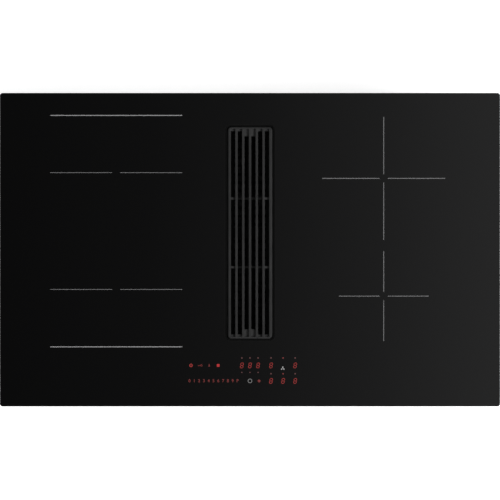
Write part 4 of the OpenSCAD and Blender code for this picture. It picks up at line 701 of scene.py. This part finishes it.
def add_digit(bm, x, y):
    """An eight in seven slanted segments."""
    tip = DIGIT_STROKE / 2
    rows = (-DIGIT_H / 2 + tip, 0, DIGIT_H / 2 - tip)
    columns = (-DIGIT_W / 2 + tip, DIGIT_W / 2 - tip)

    def place(px, py):
        return (x + px + DIGIT_SLANT * py, y + py)

    for row in rows:
        left, right = columns[0] + DIGIT_GAP, columns[1] - DIGIT_GAP
        add_plate(bm, [place(left, row), place(left + tip, row - tip), place(right - tip, row - tip),
                       place(right, row), place(right - tip, row + tip), place(left + tip, row + tip)])
    for column in columns:
        for bottom, top in zip(rows, rows[1:]):
            low, high = bottom + DIGIT_GAP, top - DIGIT_GAP
            rising = [place(column, low), place(column + tip, low + tip), place(column + tip, high - tip)]
            falling = [place(column, high), place(column - tip, high - tip), place(column - tip, low + tip)]
            add_plate(bm, rising + falling)


def add_numeral(bm, text, x, y, size):
    """A plain numeral in the built-in typeface."""
    curve = bpy.data.curves.new("numeral", "FONT")
    curve.body = text
    curve.size = size
    curve.align_x = "CENTER"
    curve.align_y = "CENTER"
    curve.extrude = MARK_T / 2
    curve.offset = NUMERAL_BOLDNESS * size
    thing = bpy.data.objects.new("numeral", curve)
    bpy.context.scene.collection.objects.link(thing)
    mesh = bpy.data.meshes.new_from_object(thing)
    mesh.transform(Matrix.Translation((x, y, Z_TOP + MARK_T)))
    bm.from_mesh(mesh)
    bpy.data.objects.remove(thing)
    bpy.data.curves.remove(curve)
    bpy.data.meshes.remove(mesh)


def display_digits():
    """The timer's three digits and the zones' five."""
    bm = bmesh.new()
    for x in TIMER_XS + [ZONE_XS[0], ZONE_XS[2]]:
        add_digit(bm, x, KEY_ROW_Y)
    for x in ZONE_XS:
        add_digit(bm, x, SLIDER_ROW_Y)
    add_mark("display_digits", bm, LIT_RED)


def display_dots():
    """The pale dots over and under the digits, and the red ones of the middle zone."""
    dots = bmesh.new()
    for x in TIMER_XS:
        add_disc(dots, x, UPPER_DOTS_Y, DOT_R)
        add_disc(dots, x, MIDDLE_DOTS_Y, SMALL_DOT_R)
    for x in (ZONE_XS[0], ZONE_XS[2]):
        add_disc(dots, x, UPPER_DOTS_Y, DOT_R)
        add_disc(dots, x, LOWER_DOTS_Y, DOT_R)
    add_mark("display_dots", dots, LIT_DOT)
    red_dots = bmesh.new()
    add_disc(red_dots, ZONE_XS[1], UPPER_DOTS_Y, DOT_R)
    add_disc(red_dots, ZONE_XS[1], LOWER_DOTS_Y, DOT_R)
    add_mark("active_dots", red_dots, LIT_DOT_RED)


def slider_numbers():
    """The levels 0 to 9 along the slider, and P at its end."""
    bm = bmesh.new()
    for index, text in enumerate("0123456789P"):
        add_numeral(bm, text, SLIDER_X + index * SLIDER_PITCH, SLIDER_ROW_Y, SLIDER_SIZE)
    add_mark("slider_numbers", bm, LIT_DIM)


def power_symbol():
    """An open ring with a bar in its gap."""
    radius, ring_stroke, bar_stroke = 2.9 * MM, 1.5 * MM, 1.1 * MM
    bar_foot, bar_head = KEY_ROW_Y + 0.6 * MM, KEY_ROW_Y + 3.0 * MM
    bm = bmesh.new()
    add_arc_band(bm, KEY_X, KEY_ROW_Y, radius, ring_stroke, 120, 420)
    add_bar(bm, KEY_X, bar_foot, KEY_X, bar_head, bar_stroke)
    add_mark("power_symbol", bm, LIT_RED)


def add_key(bm, x, y):
    """A key: its bow, its shank and two bits."""
    bow_x, bow_radius, bow_stroke = x + 2.2 * MM, 1.7 * MM, 0.8 * MM
    tip_x, neck_x = x - 3.2 * MM, x + 0.8 * MM
    stroke, bit_length = 0.7 * MM, 0.9 * MM
    add_arc_band(bm, bow_x, y, bow_radius, bow_stroke, 0, WHOLE_RING)
    add_bar(bm, tip_x, y, neck_x, y, stroke)
    for bit_x in (x - 2.9 * MM, x - 1.5 * MM):
        add_bar(bm, bit_x, y - bit_length, bit_x, y, stroke)


def add_bell(bm, x, y):
    """A bell: its flared body and its knob."""
    flank = ((1.6 * MM, -1.8 * MM), (0.9 * MM, -0.6 * MM), (0.6 * MM, 1.3 * MM))
    knob_y, knob_radius = y + 2.0 * MM, 0.5 * MM
    right = [(x + px, y + py) for px, py in flank]
    left = [(x - px, y + py) for px, py in flank[::-1]]
    add_plate(bm, right + left)
    add_disc(bm, x, knob_y, knob_radius)


def lock_and_bell_symbols():
    """The second and third symbol of the key row."""
    bm = bmesh.new()
    add_key(bm, KEY_X + KEY_PITCH, KEY_ROW_Y)
    add_bell(bm, KEY_X + 2 * KEY_PITCH, KEY_ROW_Y)
    add_mark("lock_and_bell_symbols", bm, LIT_DIM)


def stop_symbol():
    """A filled square."""
    x, half = KEY_X + 3 * KEY_PITCH, 2.3 * MM
    corners = ((-half, -half), (half, -half), (half, half), (-half, half))
    bm = bmesh.new()
    add_plate(bm, [(x + px, KEY_ROW_Y + py) for px, py in corners])
    add_mark("stop_symbol", bm, LIT_BRIGHT)


def ring_symbol():
    """The white ring under the timer's middle digit."""
    radius, stroke = 3.6 * MM, 0.95 * MM
    bm = bmesh.new()
    add_arc_band(bm, TIMER_XS[1], SLIDER_ROW_Y, radius, stroke, 0, WHOLE_RING, 32)
    add_mark("ring_symbol", bm, LIT_WHITE)


def fan_symbol():
    """Three round blades, one of them upright."""
    blade_middle, half_length, half_width, sides = 1.95 * MM, 1.35 * MM, 0.95 * MM, 16
    bm = bmesh.new()
    for index in range(3):
        turn = math.radians(90 + 120 * index)
        blade = []
        for step in range(sides):
            a = 2 * math.pi * step / sides
            along, across = blade_middle + half_length * math.cos(a), half_width * math.sin(a)
            blade.append((FAN_X + along * math.cos(turn) - across * math.sin(turn),
                          FAN_Y + along * math.sin(turn) + across * math.cos(turn)))
        add_plate(bm, blade)
    add_mark("fan_symbol", bm, LIT_FAN)


def timer_symbol():
    """A star of four points between the ring and the zones."""
    point, waist = 3.1 * MM, 1.8 * MM
    corners = [(waist if i % 2 else point, math.pi / 4 * i) for i in range(8)]
    bm = bmesh.new()
    add_plate(bm, [(TIMER_KEY_X + r * math.cos(a), SLIDER_ROW_Y + r * math.sin(a)) for r, a in corners])
    add_mark("timer_symbol", bm, LIT_DIM)


def touch_field():
    """Displays, dots, numbers and symbols that shine through the glass."""
    display_digits()
    display_dots()
    slider_numbers()
    power_symbol()
    lock_and_bell_symbols()
    stop_symbol()
    ring_symbol()
    fan_symbol()
    timer_symbol()


# Stage, light and camera

FLOOR_REACH = 12.0
FLOOR_Z = -0.5 * MM
FLOOR_GLOW = 0.78
CARD_Z = 7.0
CARD_REACH = 5.0
# The card's glow from its left to its right, over this distance either side of the middle
CARD_SPREAD = 0.9
CARD_GLOW = ((0.0, 0.05), (0.3, 0.085), (0.5, 0.14), (0.75, 0.27), (1.0, 0.46))
FILL = 0.13
LAMP_TARGET = Vector((0, 0, 0.1))
CAMERA_DISTANCE = 6.0
PICTURE_W = 829.2 * MM
PICTURE_CENTRE = (0.05 * MM, -0.5 * MM)


def joined(tree, operation, first, second):
    """A math node fed by two sockets."""
    node = add_node(tree, "ShaderNodeMath", operation=operation)
    tree.links.new(first, node.inputs[0])
    tree.links.new(second, node.inputs[1])
    return node.outputs[0]


def seen_by_camera_or_shine(tree, path):
    """One for rays from the camera or from a glossy surface."""
    return joined(tree, "MAXIMUM", path.outputs["Is Camera Ray"], path.outputs["Is Glossy Ray"])


def add_sheet(name, reach, z, facing_down, material):
    """A level square sheet of the stage."""
    corners = [(-reach, -reach, z), (reach, -reach, z), (reach, reach, z), (-reach, reach, z)]
    mesh = bpy.data.meshes.new(name)
    mesh.from_pydata(corners, [], [(3, 2, 1, 0) if facing_down else (0, 1, 2, 3)])
    mesh.materials.append(material)
    sheet = bpy.data.objects.new(name, mesh)
    bpy.context.scene.collection.objects.link(sheet)
    return sheet


def floor_white():
    """White that keeps shadows. It is clear from below, so that it doesn't stand before the underside."""
    material, tree, shader = new_material("floor_white")
    shader.inputs["Base Color"].default_value = (0.8, 0.8, 0.8, 1)
    shader.inputs["Roughness"].default_value = 0.9
    shader.inputs["Specular IOR Level"].default_value = 0.0
    shader.inputs["Emission Color"].default_value = (1, 1, 1, 1)
    path = add_node(tree, "ShaderNodeLightPath")
    glow = add_node(tree, "ShaderNodeMath", operation="MULTIPLY")
    glow.inputs[1].default_value = FLOOR_GLOW
    tree.links.new(seen_by_camera_or_shine(tree, path), glow.inputs[0])
    tree.links.new(glow.outputs[0], shader.inputs["Emission Strength"])
    side = add_node(tree, "ShaderNodeNewGeometry")
    below = joined(tree, "MULTIPLY", side.outputs["Backfacing"], path.outputs["Is Camera Ray"])
    clear = add_node(tree, "ShaderNodeBsdfTransparent")
    either = add_node(tree, "ShaderNodeMixShader")
    tree.links.new(below, either.inputs[0])
    tree.links.new(shader.outputs[0], either.inputs[1])
    tree.links.new(clear.outputs[0], either.inputs[2])
    output = next(node for node in tree.nodes if node.type == "OUTPUT_MATERIAL")
    tree.links.new(either.outputs[0], output.inputs["Surface"])
    return material


def card_glow():
    """A dim glow that grows to the right."""
    material, tree, shader = new_material("overhead_card")
    coords = add_node(tree, "ShaderNodeTexCoord")
    axis = add_node(tree, "ShaderNodeSeparateXYZ")
    tree.links.new(coords.outputs["Object"], axis.inputs["Vector"])
    across = add_node(tree, "ShaderNodeMapRange")
    across.inputs["From Min"].default_value = -CARD_SPREAD
    across.inputs["From Max"].default_value = CARD_SPREAD
    tree.links.new(axis.outputs["X"], across.inputs["Value"])
    ramp = add_node(tree, "ShaderNodeValToRGB")
    ramp.color_ramp.elements[0].position = CARD_GLOW[0][0]
    ramp.color_ramp.elements[1].position = CARD_GLOW[-1][0]
    for position, _ in CARD_GLOW[1:-1]:
        ramp.color_ramp.elements.new(position)
    for element, (_, level) in zip(ramp.color_ramp.elements, CARD_GLOW):
        element.color = (level, level, level, 1)
    tree.links.new(across.outputs["Result"], ramp.inputs["Fac"])
    shader.inputs["Base Color"].default_value = (0, 0, 0, 1)
    shader.inputs["Specular IOR Level"].default_value = 0.0
    tree.links.new(ramp.outputs["Color"], shader.inputs["Emission Color"])
    shader.inputs["Emission Strength"].default_value = 1.0
    return material


def overhead_card():
    """The card that only shiny surfaces mirror."""
    card = add_sheet("overhead_card", CARD_REACH, CARD_Z, True, card_glow())
    card.visible_camera = False
    card.visible_diffuse = False
    card.visible_shadow = False
    card.visible_transmission = False


def white_world():
    """White to the camera and in reflections, and a weak fill as light."""
    world = bpy.data.worlds.new("studio")
    world.use_nodes = True
    bpy.context.scene.world = world
    tree = world.node_tree
    tree.nodes.clear()
    path = add_node(tree, "ShaderNodeLightPath")
    direct = seen_by_camera_or_shine(tree, path)
    shown = joined(tree, "MAXIMUM", direct, path.outputs["Is Transmission Ray"])
    white = add_node(tree, "ShaderNodeBackground", Strength=1.0)
    white.inputs["Color"].default_value = (1, 1, 1, 1)
    fill = add_node(tree, "ShaderNodeBackground", Strength=FILL)
    fill.inputs["Color"].default_value = (1, 1, 1, 1)
    mix = add_node(tree, "ShaderNodeMixShader")
    output = add_node(tree, "ShaderNodeOutputWorld")
    tree.links.new(shown, mix.inputs[0])
    tree.links.new(fill.outputs[0], mix.inputs[1])
    tree.links.new(white.outputs[0], mix.inputs[2])
    tree.links.new(mix.outputs[0], output.inputs["Surface"])


def soft_lamp(name, place, size, power):
    """A square lamp that faces the cooktop and shows in no reflection."""
    lamp = bpy.data.lights.new(name, "AREA")
    lamp.size = size
    lamp.energy = power
    thing = bpy.data.objects.new(name, lamp)
    thing.location = place
    thing.rotation_euler = (LAMP_TARGET - Vector(place)).to_track_quat("-Z", "Y").to_euler()
    thing.visible_glossy = False
    bpy.context.scene.collection.objects.link(thing)


def studio():
    """A white floor, soft light from the right, and a dim overhead card that the glass mirrors."""
    add_sheet("floor", FLOOR_REACH, FLOOR_Z, False, floor_white())
    overhead_card()
    white_world()
    soft_lamp("key", (3.0, -0.8, 3.5), 1.8, 178)
    soft_lamp("overhead", (0.9, 0.2, 4.6), 2.4, 25)
    soft_lamp("front", (-0.6, -2.7, 3.0), 1.8, 18)


def camera():
    """A long lens straight above the glass, as in the photograph."""
    data = bpy.data.cameras.new("camera")
    data.sensor_width = 36
    data.lens = data.sensor_width / (PICTURE_W / CAMERA_DISTANCE)
    data.clip_end = 60
    thing = bpy.data.objects.new("camera", data)
    thing.location = (*PICTURE_CENTRE, Z_TOP + CAMERA_DISTANCE)
    bpy.context.scene.collection.objects.link(thing)
    bpy.context.scene.camera = thing


glass_plate()
collar_lip()
zone_prints()
grille()
touch_field()
studio()
camera()
bpy.context.scene.view_settings.view_transform = "Standard"
